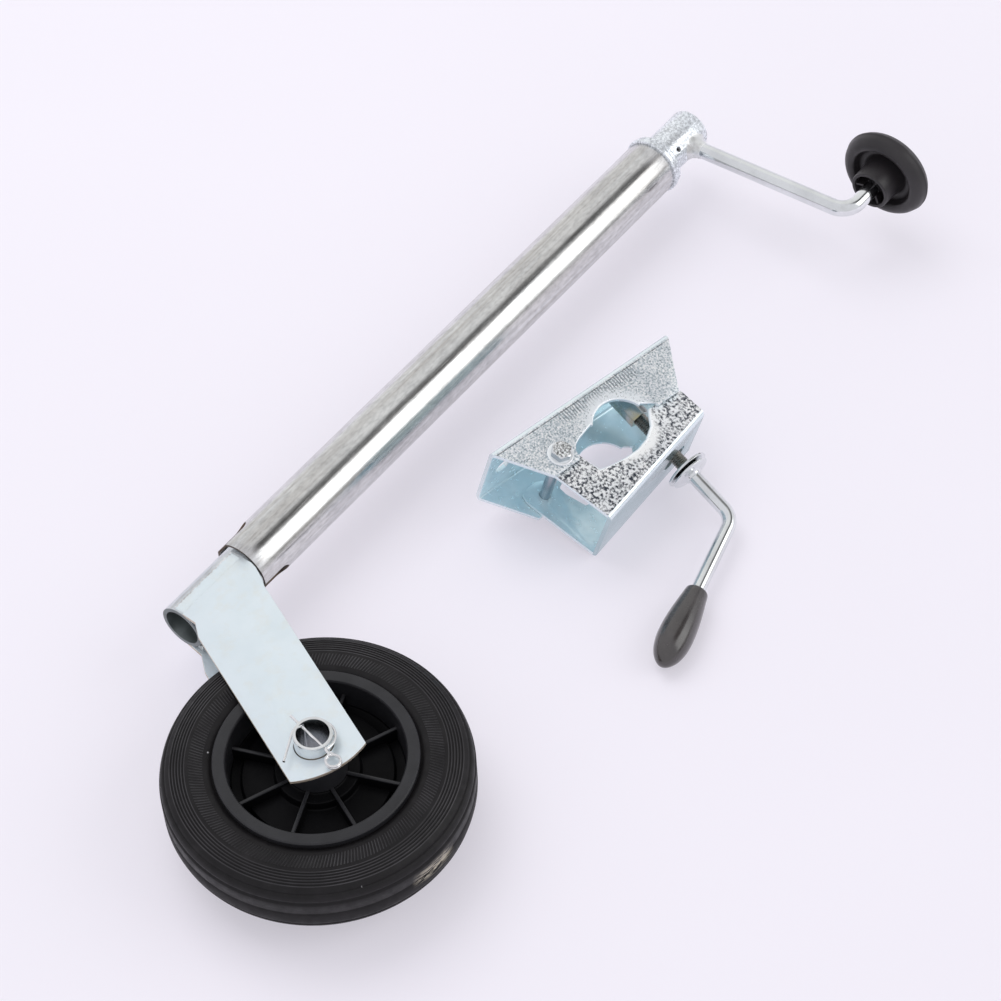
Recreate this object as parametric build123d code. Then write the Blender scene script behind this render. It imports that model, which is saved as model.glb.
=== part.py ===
from build123d import *
import os
from math import sin, cos, tan, radians, pi, sqrt, atan2, degrees

# Telescopic support wheel (jockey wheel) for a gate or trailer, lying on its
# side, with its separate split tube clamp beside it.  Millimetres.
#
# Working frame: the axis of the outer tube is the Y axis, +Y runs towards the
# crank, +X towards the wheel, +Z is the direction of the wheel's axle.
# Everything is moved by SHIFT at the end, so the origin of the finished part
# is at the centre of its footprint, on the surface it lies on.

# ------------------------------------------------------------- dimensions
# outer tube
OT_R = 21.0            # outside radius, 42 mm tube
OT_WALL = 2.0
OT_Y0 = -19.0          # lower end
OT_Y1 = 442.0          # upper end, under the collar
NOTCH_ANGLE = -25.0    # where the two end notches sit around the tube
NOTCH_W = 17.0         # notch width
NOTCH_TOP = 6.0        # highest point of the rounded notch
BUSH_Y0, BUSH_Y1 = 8.0, 28.0   # guide bush inside the lower end

# collar at the top of the tube
COL_R = 22.6
COL_Y1 = 449.0
COL_TOP_Y = 452.5
COL_TOP_R = 17.5

# inner tube and its spindle nut
IT_R = 16.5
IT_WALL = 3.0
IT_Y0 = -79.0
IT_Y1 = 323.8
NUT_FLANGE_R = 18.9
NUT_Y0, NUT_Y1, NUT_Y2 = 300.0, 324.0, 332.0
TRAVEL = 200.0         # how far the inner tube winds out

# spindle
SP_R = 8.0             # 16 mm trapezoidal thread, drawn at its major diameter
SP_PITCH = 4.0
SP_Y0 = 92.0
SP_Y1 = 486.0
SHOULDER_R = 12.0
SHOULDER_Y0, SHOULDER_Y1 = 417.0, 424.0

# thrust bearing under the collar
RACE_R = 14.0
RACE_T = 2.0
BALL_R = 1.7
BALL_PCR = 11.0
BALL_N = 14

# crank
HEAD_R = 15.75
HEAD_Y0, HEAD_Y1 = 453.0, 492.5
PIN_R = 2.0
PIN_Y = 460.0
PIN_ANGLE = 40.9
ARM_ANGLE = 5.5        # arm direction, turned from +X towards +Z
ARM_Y = 476.0
ARM_ROD_R = 6.0
CRANK_R = 150.6        # from the tube's axis to the knob's axis
ARM_BEND_R = 13.0
GRIP_END_Y = 531.0
KNOB_R = 34.5
KNOB_STEM_R = 15.0
KNOB_MOUTH_R = 12.4    # hollow mouth of the stem round the rod
KNOB_MOUTH = 9.0
KNOB_Y0 = 503.0
KNOB_RIM_Y = 526.0
KNOB_TOP_Y = 539.0

# fork plates
FORK_T = 2.5
FORK_TILT = 8.53       # how far each plate leans away from the other
FORK_HOLE_R = 13.0

# wheel
WX, WY = 148.0, -115.4  # centre of the wheel
WHEEL_R = 100.0
TYRE_HALF = 22.6
RIM_R = 65.4
RIM_IN_R = 56.9
RIM_HALF = 25.6
SEAT_R = 61.5
HUB_R = 19.0
HUB_HALF = 30.0
BOSS_R = 27.0
BOSS_HALF = 12.0
WEB_HALF = 3.0
DISC_R = 48.5
DISC_HALF = 6.0
RIB_N = 8
RIB_T = 3.0
RIB_HALF = 14.0
BUSH_BORE_R = 12.55
BUSH_WALL_R = 15.0

# axle
AX_R = 12.5
AX_BORE_R = 10.6
AX_Z1 = 50.0
AX_HEAD_R = 15.5
AX_HEAD_T = 1.6
CLIP_R = 0.95
CLIP_Z = 45.6
CLIP_ANGLE = -10.2

# tube clamp, in its own directions: w out of the base plate, a along the base
# plate, h along the bore
CL_O = (76.58, 133.79, -20.65)
CL_W = (0.951384, -0.179941, -0.249980)
CL_H = (0.254626, 0.002820, 0.967036)
CL_L = 162.0           # base plate length
CL_D = 39.7            # flange depth
CL_HT = 62.0           # channel height
CL_T = 3.0             # sheet thickness
CL_SLANT = 23.6        # how much each flange end is cut back
BORE_W, BORE_A = 38.0, 88.0     # centre of the gripped tube
BORE_R = 21.15
BASE_HOLE_R = 6.5
BASE_HOLE_A = (16.0, 146.0)
HINGE_W, HINGE_A = 29.2, 37.5
HINGE_R = 4.0
SCREW_A, SCREW_H = 118.6, 31.0
SCREW_R = 5.0
NUT_AF = 14.0          # long nut welded to the base plate
NUT_LEN = 28.0
JAW_GAP = 0.4
JAW_H0, JAW_H1 = CL_T + JAW_GAP, CL_HT - CL_T - JAW_GAP
WEB_A0, WEB_W0 = 35.0, 85.5     # outer face of the jaw's web, hinge end
WEB_A1, WEB_W1 = 143.5, 62.5    # outer face of the jaw's web, screw end
WASHER_W = 79.0
WASHER_T = 1.8
WASHER_R = 16.0
HANDLE_W = 126.5       # where the handle bends
HANDLE_BEND_R = 15.0
LEG_A, LEG_W, LEG_H = -118.7, 54.2, 4.55   # direction of the handle's leg
LEG_GRIP = 62.5        # where the grip starts along the leg
LEG_TIP = 130.6

os.makedirs("parts", exist_ok=True)
NODES = {}


# ---------------------------------------------------------------- helpers
def rev_y(pts, x=0.0, z=0.0):
    """Solid turned about a line parallel to Y; pts are (radius, y)."""
    face = make_face(Polyline(*[(r, y) for r, y in pts], close=True))
    return Pos(x, 0, z) * revolve(face, axis=Axis.Y)


def rev_z(pts, x=0.0, y=0.0):
    """Solid turned about a line parallel to Z; pts are (radius, z)."""
    face = Plane.XZ * make_face(Polyline(*[(r, z) for r, z in pts], close=True))
    return Pos(x, y, 0) * revolve(face, axis=Axis.Z)


def cyl_y(r, y0, y1, x=0.0, z=0.0):
    return Pos(x, (y0 + y1) / 2, z) * Rot(90, 0, 0) * Cylinder(r, y1 - y0)


def cyl_z(r, z0, z1, x=0.0, y=0.0):
    return Pos(x, y, (z0 + z1) / 2) * Cylinder(r, z1 - z0)


def ring_y(ro, ri, y0, y1, x=0.0, z=0.0):
    return cyl_y(ro, y0, y1, x, z) - cyl_y(ri, y0 - 1, y1 + 1, x, z)


def ring_z(ro, ri, z0, z1, x=0.0, y=0.0):
    return cyl_z(ro, z0, z1, x, y) - cyl_z(ri, z0 - 1, z1 + 1, x, y)


def rod(p, q, r):
    """Round bar from p to q."""
    p, q = Vector(*p), Vector(*q)
    d = q - p
    return Plane(origin=p, z_dir=d.normalized()) * Cylinder(
        r, d.length, align=(Align.CENTER, Align.CENTER, Align.MIN))


def swept(points, radii, r):
    """Round bar along a line with rounded corners."""
    path = FilletPolyline(*points, radius=radii)
    start = path @ 0
    sec = Plane(origin=start, z_dir=path % 0) * Circle(r)
    return sweep(sec, path=path)


# ============================================================= outer tube
outer_tube = ring_y(OT_R, OT_R - OT_WALL, OT_Y0, OT_Y1)
for k in (0, 180):
    r = NOTCH_W / 2
    slot = (Pos(0, OT_Y0 / 2 - 5 + (NOTCH_TOP - r) / 2, 20)
            * Box(NOTCH_W, NOTCH_TOP - r - OT_Y0 + 10, 16)
            + Pos(0, NOTCH_TOP - r, 20) * Cylinder(r, 16))
    outer_tube -= Rot(0, 90 - (NOTCH_ANGLE + k), 0) * slot
NODES["outer_tube"] = outer_tube

NODES["guide_bush"] = ring_y(OT_R - OT_WALL - 0.02, IT_R + 0.06, BUSH_Y0, BUSH_Y1)

# collar: pressed ring with a spigot inside the tube
NODES["top_collar"] = rev_y([
    (SP_R + 0.3, 432.0), (OT_R - OT_WALL - 0.05, 432.0),
    (OT_R - OT_WALL - 0.05, OT_Y1), (COL_R - 1.2, OT_Y1), (COL_R, OT_Y1 + 1.2),
    (COL_R, COL_Y1 - 1.6), (COL_R - 1.6, COL_Y1), (COL_TOP_R + 0.8, COL_TOP_Y - 0.6),
    (COL_TOP_R, COL_TOP_Y), (SP_R + 0.3, COL_TOP_Y)])

# thrust bearing
NODES["upper_race"] = ring_y(RACE_R, SP_R + 0.3, 430.0, 432.0)
NODES["lower_race"] = ring_y(RACE_R, SP_R, 424.0, 426.0)
NODES["thrust_balls"] = Compound(children=[
    Pos(BALL_PCR * cos(2 * pi * i / BALL_N), 428.0, BALL_PCR * sin(2 * pi * i / BALL_N))
    * Sphere(BALL_R) for i in range(BALL_N)])

# ================================================================ spindle
spindle = rev_y([
    (0, SP_Y0), (SP_R - 1, SP_Y0), (SP_R, SP_Y0 + 1), (SP_R, SHOULDER_Y0),
    (SHOULDER_R, SHOULDER_Y0), (SHOULDER_R, SHOULDER_Y1), (SP_R, SHOULDER_Y1),
    (SP_R, SP_Y1 - 1), (SP_R - 1, SP_Y1), (0, SP_Y1)])
pin_dir = Rot(0, -PIN_ANGLE, 0)
cross_hole = Pos(0, PIN_Y, 0) * pin_dir * Rot(0, 90, 0) * Cylinder(PIN_R, 40)
spindle -= cross_hole
NODES["spindle"] = spindle
NODES["spindle_end_stop"] = ring_y(11.0, SP_R, 95.0, 98.5)

# crank head: turned hub with a blind bore for the spindle
head = rev_y([
    (0, HEAD_Y1), (HEAD_R - 2.2, HEAD_Y1), (HEAD_R - 0.7, HEAD_Y1 - 0.7),
    (HEAD_R, HEAD_Y1 - 2.2), (HEAD_R, HEAD_Y0 + 0.6), (HEAD_R - 0.6, HEAD_Y0),
    (SP_R, HEAD_Y0), (SP_R, SP_Y1 + 0.5), (0, SP_Y1 + 0.5)])
head -= cross_hole
NODES["crank_head"] = head
NODES["crank_pin"] = Pos(0, PIN_Y, 0) * pin_dir * Rot(0, 90, 0) * (
    Cylinder(PIN_R, 2 * HEAD_R - 3) - Cylinder(PIN_R - 0.8, 2 * HEAD_R))

# crank arm: round rod, bent square, the far leg carries the knob
turn_arm = Rot(0, -ARM_ANGLE, 0)
arm = swept([(10.0, ARM_Y, 0), (CRANK_R, ARM_Y, 0), (CRANK_R, GRIP_END_Y, 0)],
            ARM_BEND_R, ARM_ROD_R)
arm = turn_arm * arm
arm -= cyl_y(HEAD_R, ARM_Y - 30, ARM_Y + 30)
NODES["crank_arm"] = arm
weld = turn_arm * (Pos(HEAD_R - 0.2, ARM_Y, 0) * Rot(0, 90, 0) * Cone(12.5, ARM_ROD_R + 0.5, 11.6))
weld -= cyl_y(HEAD_R, ARM_Y - 30, ARM_Y + 30)
weld -= turn_arm * rod((0, ARM_Y, 0), (40, ARM_Y, 0), ARM_ROD_R)
NODES["arm_weld"] = weld

# knob: mushroom with a hollow underside, free to turn on the rod
KX, KZ = CRANK_R * cos(radians(ARM_ANGLE)), CRANK_R * sin(radians(ARM_ANGLE))
B = ARM_ROD_R + 0.08
NODES["crank_knob"] = rev_y([
    (B, KNOB_Y0 + KNOB_MOUTH), (KNOB_MOUTH_R, KNOB_Y0 + KNOB_MOUTH), (KNOB_MOUTH_R, KNOB_Y0),
    (KNOB_STEM_R - 1.0, KNOB_Y0), (KNOB_STEM_R, KNOB_Y0 + 1.0),
    (KNOB_STEM_R + 1.0, 523.0), (17.5, 525.5), (20.5, 525.0), (22.5, 521.5),
    (24.0, 518.2), (27.0, 516.8), (30.5, 517.8), (33.4, 521.2), (KNOB_R, KNOB_RIM_Y),
    (33.6, 529.6), (30.6, 532.8), (24.0, 535.8), (14.0, 538.2), (5.0, KNOB_TOP_Y),
    (0, KNOB_TOP_Y), (0, GRIP_END_Y + 3.0), (10.5, GRIP_END_Y + 3.0),
    (10.5, GRIP_END_Y - 4.5), (B, GRIP_END_Y - 4.5)], KX, KZ)
NODES["knob_push_nut"] = ring_y(9.5, ARM_ROD_R, GRIP_END_Y - 3.6, GRIP_END_Y - 2.2, KX, KZ)

# =========================================================== spindle nut
nut = rev_y([
    (SP_R + 0.06, NUT_Y0), (IT_R - IT_WALL - 0.06, NUT_Y0),
    (IT_R - IT_WALL - 0.06, 307.0), (11.6, 307.0), (11.6, 313.0),
    (IT_R - IT_WALL - 0.06, 313.0), (IT_R - IT_WALL - 0.06, NUT_Y1),
    (NUT_FLANGE_R, NUT_Y1), (NUT_FLANGE_R, NUT_Y2), (SP_R + 0.06, NUT_Y2)])
NODES["spindle_nut"] = nut

# inner tube, held on the nut by two grub screws in its groove
inner = ring_y(IT_R, IT_R - IT_WALL, IT_Y0, IT_Y1)
screws = []
for s in (1, -1):
    hole = rod((s * 12.2, 310.0, 0), (s * 17.5, 310.0, 0), 2.4)
    inner -= hole
    screws.append(rod((s * 12.2, 310.0, 0), (s * 16.2, 310.0, 0), 2.4))
NODES["inner_tube"] = inner
NODES["nut_grub_screws"] = Compound(children=screws)

# ============================================================ fork plates
T = radians(FORK_TILT)
z_tan = IT_R / cos(T)          # height of the plate's outer face over the tube's axis
lead = [(2.6, -20.2), (12.0, -20.6), (17.3, -22.2), (27.0, -27.2), (33.5, -31.8), (175.3, -97.5)]
with BuildLine() as outline:
    q = [(x / cos(T), y) for x, y in lead]
    Polyline(*q)
    ThreePointArc(q[-1], (172.7 / cos(T), -121.6), (154.7 / cos(T), -146.6))
    Polyline((154.7 / cos(T), -146.6), (25.3 / cos(T), -88.3), (15.0 / cos(T), -80.0),
             (2.6 / cos(T), -79.0), q[0])
plate2d = make_face(outline.line)
plate = Pos(0, 0, z_tan) * Rot(0, -FORK_TILT, 0) * extrude(plate2d, amount=-FORK_T)
plate -= cyl_y(IT_R, -200, 10)
plate -= cyl_z(FORK_HOLE_R, 0, 60, WX, WY)
NODES["fork_plate_upper"] = plate
NODES["fork_plate_lower"] = mirror(plate, about=Plane.XY)

# weld beads that join the plates to the inner tube: one along the outside of
# each plate's edge, one in the corner under it
beads = []
for s in (1, -1):
    bead = rod((2.2, -21.5, s * 15.9), (2.2, -77.5, s * 15.9), 1.6)
    bead += rod((12.0, -23.0, s * 14.2), (12.0, -78.0, s * 14.2), 2.6)
    bead -= cyl_y(IT_R, -100, 10)
    bead -= NODES["fork_plate_upper" if s > 0 else "fork_plate_lower"]
    beads += bead.solids()
NODES["fork_welds"] = Compound(children=beads)

# ================================================================= axle
PL_OUT = z_tan + (WX + AX_HEAD_R) * tan(T) + 0.15
axle = ring_z(AX_R, AX_BORE_R, -PL_OUT - AX_HEAD_T, AX_Z1, WX, WY)
axle += ring_z(AX_HEAD_R, AX_BORE_R, -PL_OUT - AX_HEAD_T, -PL_OUT, WX, WY)
ca, sa = cos(radians(CLIP_ANGLE)), sin(radians(CLIP_ANGLE))
clip_hole = rod((WX - 16 * ca, WY - 16 * sa, CLIP_Z), (WX + 16 * ca, WY + 16 * sa, CLIP_Z), CLIP_R + 0.15)
axle -= clip_hole
NODES["axle_tube"] = axle
NODES["axle_washers"] = Compound(children=[
    ring_z(17.0, AX_R + 0.1, HUB_HALF + 0.35, HUB_HALF + 1.45, WX, WY),
    ring_z(17.0, AX_R + 0.1, -HUB_HALF - 1.45, -HUB_HALF - 0.35, WX, WY)])

# spring clip: straight leg through the axle, a coil, and an outer leg that
# lies round the axle
LEG_IN, LEG_OUT = 21.5, 18.0
leg = rod((-LEG_IN, 0, 0), (LEG_OUT + 0.6, 0, 0), CLIP_R)
coil = Pos(LEG_OUT, -3.75, -0.35) * revolve(Plane.XZ * Pos(4.0, 0) * Circle(CLIP_R), axis=Axis.Z)
wrap_r = AX_R + CLIP_R + 0.35
arc = ThreePointArc((wrap_r * cos(radians(-14)), wrap_r * sin(radians(-14)), -2.1),
                    (0, wrap_r, -2.1),
                    (wrap_r * cos(radians(188)), wrap_r * sin(radians(188)), -2.1))
w0, a0 = arc @ 0, arc % 0
e0, e1 = arc @ 1, arc % 1
wrap = sweep(Plane(origin=w0, z_dir=a0) * Circle(CLIP_R), path=arc)
tail = rod(tuple(e0 - e1 * 0.5), tuple(e0 + e1 * 17.0), CLIP_R - 0.02)
neck = rod((LEG_OUT - 0.6, -7.35, -0.45), tuple(w0 + a0 * 0.4), CLIP_R - 0.03)
clip = leg + coil.solids()[0]
clip = clip + neck
clip = clip + wrap.solids()[0]
clip = clip + tail
NODES["axle_clip"] = Pos(WX, WY, CLIP_Z) * Rot(0, 0, CLIP_ANGLE) * clip

# ================================================================ wheel
profile = [
    (BUSH_WALL_R, -HUB_HALF), (HUB_R, -HUB_HALF), (HUB_R + 0.6, -BOSS_HALF), (BOSS_R, -BOSS_HALF),
    (BOSS_R + 0.6, -DISC_HALF), (DISC_R, -DISC_HALF), (DISC_R + 0.4, -WEB_HALF), (RIM_IN_R - 1.2, -WEB_HALF),
    (RIM_IN_R, -RIM_HALF + 0.8), (RIM_IN_R + 0.8, -RIM_HALF), (RIM_R - 0.8, -RIM_HALF),
    (RIM_R, -RIM_HALF + 0.8), (RIM_R, -20.6), (SEAT_R, -20.6)]
profile += [(r, -z) for r, z in reversed(profile)]
rim = rev_z(profile)
rib_r0, rib_r1 = HUB_R - 1.0, RIM_IN_R + 0.5
for i in range(RIB_N):
    rim += Rot(0, 0, 22.5 + 45 * i) * Pos((rib_r0 + rib_r1) / 2, 0, 0) * Box(
        rib_r1 - rib_r0, RIB_T, 2 * RIB_HALF)
NODES["wheel_rim"] = Pos(WX, WY, 0) * rim
NODES["hub_bush"] = ring_z(BUSH_WALL_R, BUSH_BORE_R, -HUB_HALF + 0.2, HUB_HALF - 0.2, WX, WY)
half = [(SEAT_R, 20.6), (RIM_R + 0.6, 20.6), (RIM_R + 1.6, 21.8), (69.0, 22.4), (76.0, TYRE_HALF),
        (84.0, 22.2), (89.0, 21.2), (93.0, 19.4), (96.2, 16.6), (98.8, 13.4), (WHEEL_R, 10.5)]
NODES["tyre"] = rev_z([(r, -z) for r, z in half] + [(r, z) for r, z in reversed(half)], WX, WY)

# ================================================================ clamp
CLAMP = Plane(origin=CL_O, x_dir=CL_W, z_dir=CL_H)


def cl(shape):
    return CLAMP.location * shape


def flat(pts, h0, h1):
    """Plate of the clamp: outline in (w, a), from h0 to h1."""
    return Pos(0, 0, h0) * extrude(make_face(Polyline(*pts, close=True)), amount=h1 - h0)


RB = 4.5    # outside bend radius of the pressed channels
RB_IN = 1.6
section = make_face(Polyline(
    (0, 0), (CL_D, 0), (CL_D, CL_T), (CL_T, CL_T), (CL_T, CL_HT - CL_T), (CL_D, CL_HT - CL_T),
    (CL_D, CL_HT), (0, CL_HT), close=True))
section = fillet([v for v in section.vertices() if v.X < 0.1], RB)
section = fillet([v for v in section.vertices() if abs(v.X - CL_T) < 0.1 and CL_T - 0.1 < v.Y < CL_HT - CL_T + 0.1], RB_IN)
bracket = Plane(origin=(0, CL_L, 0), x_dir=(1, 0, 0), z_dir=(0, -1, 0)) * section
bracket = extrude(bracket, amount=CL_L)
trim = flat([(-1, 0), (CL_T, 0), (CL_D, CL_SLANT), (CL_D, CL_L - CL_SLANT), (CL_T, CL_L), (-1, CL_L)], -1, CL_HT + 1)
bracket = bracket & trim
recess = (flat([(40.5, 46.0), (33.0, 48.5), (29.5, 52.0), (27.2, 57.0), (24.0, 70.0), (38.0, 88.0),
                (31.5, 109.6), (34.5, 114.0), (37.0, 118.0), (40.5, 120.0)], -1, CL_HT + 1)
          + Pos(BORE_W, BORE_A, CL_HT / 2) * Cylinder(BORE_R, CL_HT + 2))
recess = recess & (Pos(CL_T + 1.5 + 50, CL_L / 2, CL_HT / 2) * Box(100, CL_L, CL_HT + 2))
bracket -= recess
bracket -= Pos(HINGE_W, HINGE_A, CL_HT / 2) * Cylinder(HINGE_R + 0.1, CL_HT + 2)
for a in BASE_HOLE_A:
    bracket -= Pos(CL_T / 2, a, CL_HT / 2) * Rot(0, 90, 0) * Cylinder(BASE_HOLE_R, CL_T + 4)
NODES["clamp_bracket"] = cl(bracket)

# long nut welded to the base plate; the clamp screw runs in it
hexa = RegularPolygon(NUT_AF / 2, 6, major_radius=False, rotation=0)
post = extrude(hexa, amount=NUT_LEN) - Cylinder(SCREW_R + 0.06, 120)
NODES["clamp_nut"] = cl(Pos(CL_T, SCREW_A, SCREW_H) * Rot(0, 90, 0) * post)

# hinge bolt with washer and nut
hexb = RegularPolygon(6.5, 6, major_radius=False, rotation=12)
bolt = Pos(0, 0, CL_HT + 1.6) * extrude(hexb, amount=5.3)
bolt = bolt & (Pos(0, 0, CL_HT + 1.6) * Cone(7.8, 6.4, 5.3, align=(Align.CENTER, Align.CENTER, Align.MIN)))
bolt += Pos(0, 0, -11.2) * Cylinder(HINGE_R, CL_HT + 1.6 + 11.2, align=(Align.CENTER, Align.CENTER, Align.MIN))
NODES["hinge_bolt"] = cl(Pos(HINGE_W, HINGE_A, 0) * bolt)
NODES["hinge_washers"] = cl(Pos(HINGE_W, HINGE_A, 0) * Compound(children=[
    ring_z(8.2, HINGE_R, CL_HT, CL_HT + 1.6), ring_z(8.2, HINGE_R, -1.6, 0)]))
nutb = extrude(hexb, amount=7.0) - Cylinder(HINGE_R, 30)
NODES["hinge_nut"] = cl(Pos(HINGE_W, HINGE_A, -8.6) * nutb)

# jaw: shorter pressed channel inside the bracket's flanges
tw = (WEB_A1 - WEB_A0, WEB_W1 - WEB_W0)
tl = sqrt(tw[0] ** 2 + tw[1] ** 2)
ux, uy = tw[1] / tl, tw[0] / tl            # (w, a) along the web towards the screw end
nx, ny = -uy, ux                           # inward normal (towards -w)


def web_pt(t, d):
    """Point t along the outer face of the web and d inwards, as (w, a)."""
    return (WEB_W0 + ux * t + nx * d, WEB_A0 + uy * t + ny * d)


ear = [web_pt(0, 0), web_pt(tl, 0), (39.5, 141.5), (37.0, 112.5), (47.4, 105.5), (53.2, 96.0),
       (55.6, 86.0), (55.6, 76.0), (54.2, 64.0), (52.1, 54.9), (37.5, 49.6), (29.2, 49.0), (21.0, 45.6),
       (17.4, 37.5), (18.4, 29.0), (20.1, 24.9), (25.5, 23.4), (39.7, 25.8)]
jaw = flat(ear, JAW_H0, JAW_H0 + CL_T) + flat(ear, JAW_H1 - CL_T, JAW_H1)
web = flat([web_pt(0, 0), web_pt(tl, 0), web_pt(tl, CL_T), web_pt(0, CL_T)], JAW_H0, JAW_H1)
jaw += web
rounded = Plane(origin=(WEB_W0, WEB_A0, 0), x_dir=(nx, ny, 0), z_dir=(ux, uy, 0))
bend = make_face(Polyline((0, JAW_H0), (110, JAW_H0), (110, JAW_H1), (0, JAW_H1), close=True))
bend = fillet([v for v in bend.vertices() if v.X < 0.1], RB - 0.5)
jaw = jaw & (rounded.location * (Pos(0, 0, -70) * extrude(bend, amount=tl + 140)))
jaw -= Pos(HINGE_W, HINGE_A, CL_HT / 2) * Cylinder(HINGE_R + 0.08, CL_HT + 2)
slot_c = (SCREW_A - 1.5)
slot = (Pos(70, slot_c, SCREW_H) * Box(40, 10, 2 * (SCREW_R + 1.6))
        + Pos(70, slot_c - 5, SCREW_H) * Rot(0, 90, 0) * Cylinder(SCREW_R + 1.6, 40)
        + Pos(70, slot_c + 5, SCREW_H) * Rot(0, 90, 0) * Cylinder(SCREW_R + 1.6, 40))
jaw -= slot
NODES["clamp_jaw"] = cl(jaw)

# clamp screw: threaded rod with a collar, bent to carry the grip
leg_len = sqrt(LEG_A ** 2 + LEG_W ** 2 + LEG_H ** 2)
dl = Vector(LEG_W / leg_len, LEG_A / leg_len, LEG_H / leg_len)
corner = Vector(HANDLE_W, SCREW_A, SCREW_H)
leg_end = corner + dl * (LEG_GRIP + 45.0)
screw = swept([(12.0, SCREW_A, SCREW_H), tuple(corner), tuple(leg_end)], HANDLE_BEND_R, SCREW_R)
collar = Pos(0, SCREW_A, SCREW_H) * Rot(0, 90, 0) * Pos(0, 0, WASHER_W + WASHER_T) * rev_z([
    (0, 0), (13.6, 0), (14.4, 0.8), (14.2, 2.0), (12.0, 3.2), (8.0, 4.4), (0, 5.0)])
screw += collar
NODES["clamp_screw"] = cl(screw)
NODES["screw_washer"] = cl(Pos(0, SCREW_A, SCREW_H) * Rot(0, 90, 0) * ring_z(
    WASHER_R, SCREW_R + 0.08, WASHER_W, WASHER_W + WASHER_T - 0.05))

# grip: teardrop pushed over the end of the handle
g0 = corner + dl * LEG_GRIP
grip_len = LEG_TIP - LEG_GRIP
prof = [(0, 0), (6.8, 0), (7.9, 1.2), (8.3, 4.0), (9.5, 13.0), (10.9, 24.0), (11.9, 34.0),
        (12.2, 42.0), (11.7, 50.0), (10.0, 57.5), (7.2, 63.4), (3.8, 67.0), (0, grip_len)]
grip = make_face(Polyline(*prof, close=True))
grip = revolve(Plane.XZ * grip, axis=Axis.Z)
grip = Plane(origin=g0, z_dir=dl) * grip
grip -= rod(tuple(corner), tuple(leg_end), SCREW_R)
NODES["handle_grip"] = cl(grip)

# ============================================================ output
ALL = Compound(children=[Compound(children=list(n.solids())) for n in NODES.values()])
box = ALL.bounding_box()
SHIFT = (-(box.min.X + box.max.X) / 2, -(box.min.Y + box.max.Y) / 2, -box.min.Z)
if __name__ == "__main__":
    print("box", box.min, box.max, "size", box.size)
    print("shift", SHIFT)
    for name, node in NODES.items():
        print(name, round(node.bounding_box().min.Z, 2))
    for name, node in NODES.items():
        solids = [s.moved(Location(SHIFT)) for s in node.solids()]
        out = solids[0] if len(solids) == 1 else Compound(children=solids)
        export_step(out, f"parts/{name}.step")
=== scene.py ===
import bpy
import bmesh
from math import sin, cos, tan, pi, radians, sqrt, atan2, asin, floor
from mathutils import Vector, Matrix, noise


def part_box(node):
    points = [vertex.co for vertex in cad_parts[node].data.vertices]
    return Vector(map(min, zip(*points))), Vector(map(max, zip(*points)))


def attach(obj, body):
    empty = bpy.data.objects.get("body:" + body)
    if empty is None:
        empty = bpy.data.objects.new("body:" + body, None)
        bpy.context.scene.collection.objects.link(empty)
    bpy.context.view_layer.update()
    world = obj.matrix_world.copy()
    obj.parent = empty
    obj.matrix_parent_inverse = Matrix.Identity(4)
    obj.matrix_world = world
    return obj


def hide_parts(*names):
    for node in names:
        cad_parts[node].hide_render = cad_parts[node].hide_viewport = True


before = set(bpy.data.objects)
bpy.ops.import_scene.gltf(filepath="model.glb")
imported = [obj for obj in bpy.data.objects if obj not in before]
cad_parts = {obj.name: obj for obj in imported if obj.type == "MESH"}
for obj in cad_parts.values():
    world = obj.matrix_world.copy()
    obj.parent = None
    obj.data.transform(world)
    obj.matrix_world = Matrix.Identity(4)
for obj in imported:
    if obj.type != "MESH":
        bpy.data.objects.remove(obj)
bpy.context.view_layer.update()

# ------------------------------------------------------------------ frame
# J(x, y, z): millimetres from the axis of the outer tube (+Y towards the
# crank, +X towards the wheel, +Z along the wheel's axle), as row metres
_lo, _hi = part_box("outer_tube")
OX, OY, OZ = (_lo.x + _hi.x) / 2, _lo.y + 0.019, (_lo.z + _hi.z) / 2


def J(x, y, z):
    return Vector((OX + x / 1000, OY + y / 1000, OZ + z / 1000))


CL_O = Vector((76.58, 133.79, -20.65))
CW = Vector((0.951384, -0.179941, -0.249980)).normalized()
CH = Vector((0.254626, 0.002820, 0.967036)).normalized()
CA = CH.cross(CW).normalized()
CH = CW.cross(CA).normalized()


def C(w, a, h):
    v = CL_O + CW * w + CA * a + CH * h
    return J(v.x, v.y, v.z)


# ----------------------------------------------------------------- camera
EL, AZ, ROLL = 0.899581830, 0.704229810, -0.0548250687
back = Vector((sin(AZ) * cos(EL), -cos(AZ) * cos(EL), sin(EL)))
right = Vector((cos(AZ), sin(AZ), 0.0))
up = back.cross(right)
r_ = right * cos(ROLL) + up * sin(ROLL)
u_ = up * cos(ROLL) - right * sin(ROLL)
cam = bpy.data.objects.new("camera", bpy.data.cameras.new("camera"))
bpy.context.scene.collection.objects.link(cam)
cam.data.sensor_width = 36.0
cam.data.lens = 111.66
cam.data.clip_start, cam.data.clip_end = 0.05, 60.0
m = Matrix((r_, u_, back)).transposed().to_4x4()
m.translation = J(946.21, -863.48, 1639.57)
cam.matrix_world = m
bpy.context.scene.camera = cam


# -------------------------------------------------------------- materials
def ramp(nt, stops, src):
    n = nt.nodes.new("ShaderNodeValToRGB")
    el = n.color_ramp.elements
    while len(el) > 1:
        el.remove(el[-1])
    for i, (p, c) in enumerate(stops):
        e = el[0] if i == 0 else el.new(p)
        e.position = p
        e.color = (c[0], c[1], c[2], 1) if hasattr(c, "__len__") else (c, c, c, 1)
    nt.links.new(src, n.inputs[0])
    return n.outputs[0]


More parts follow.
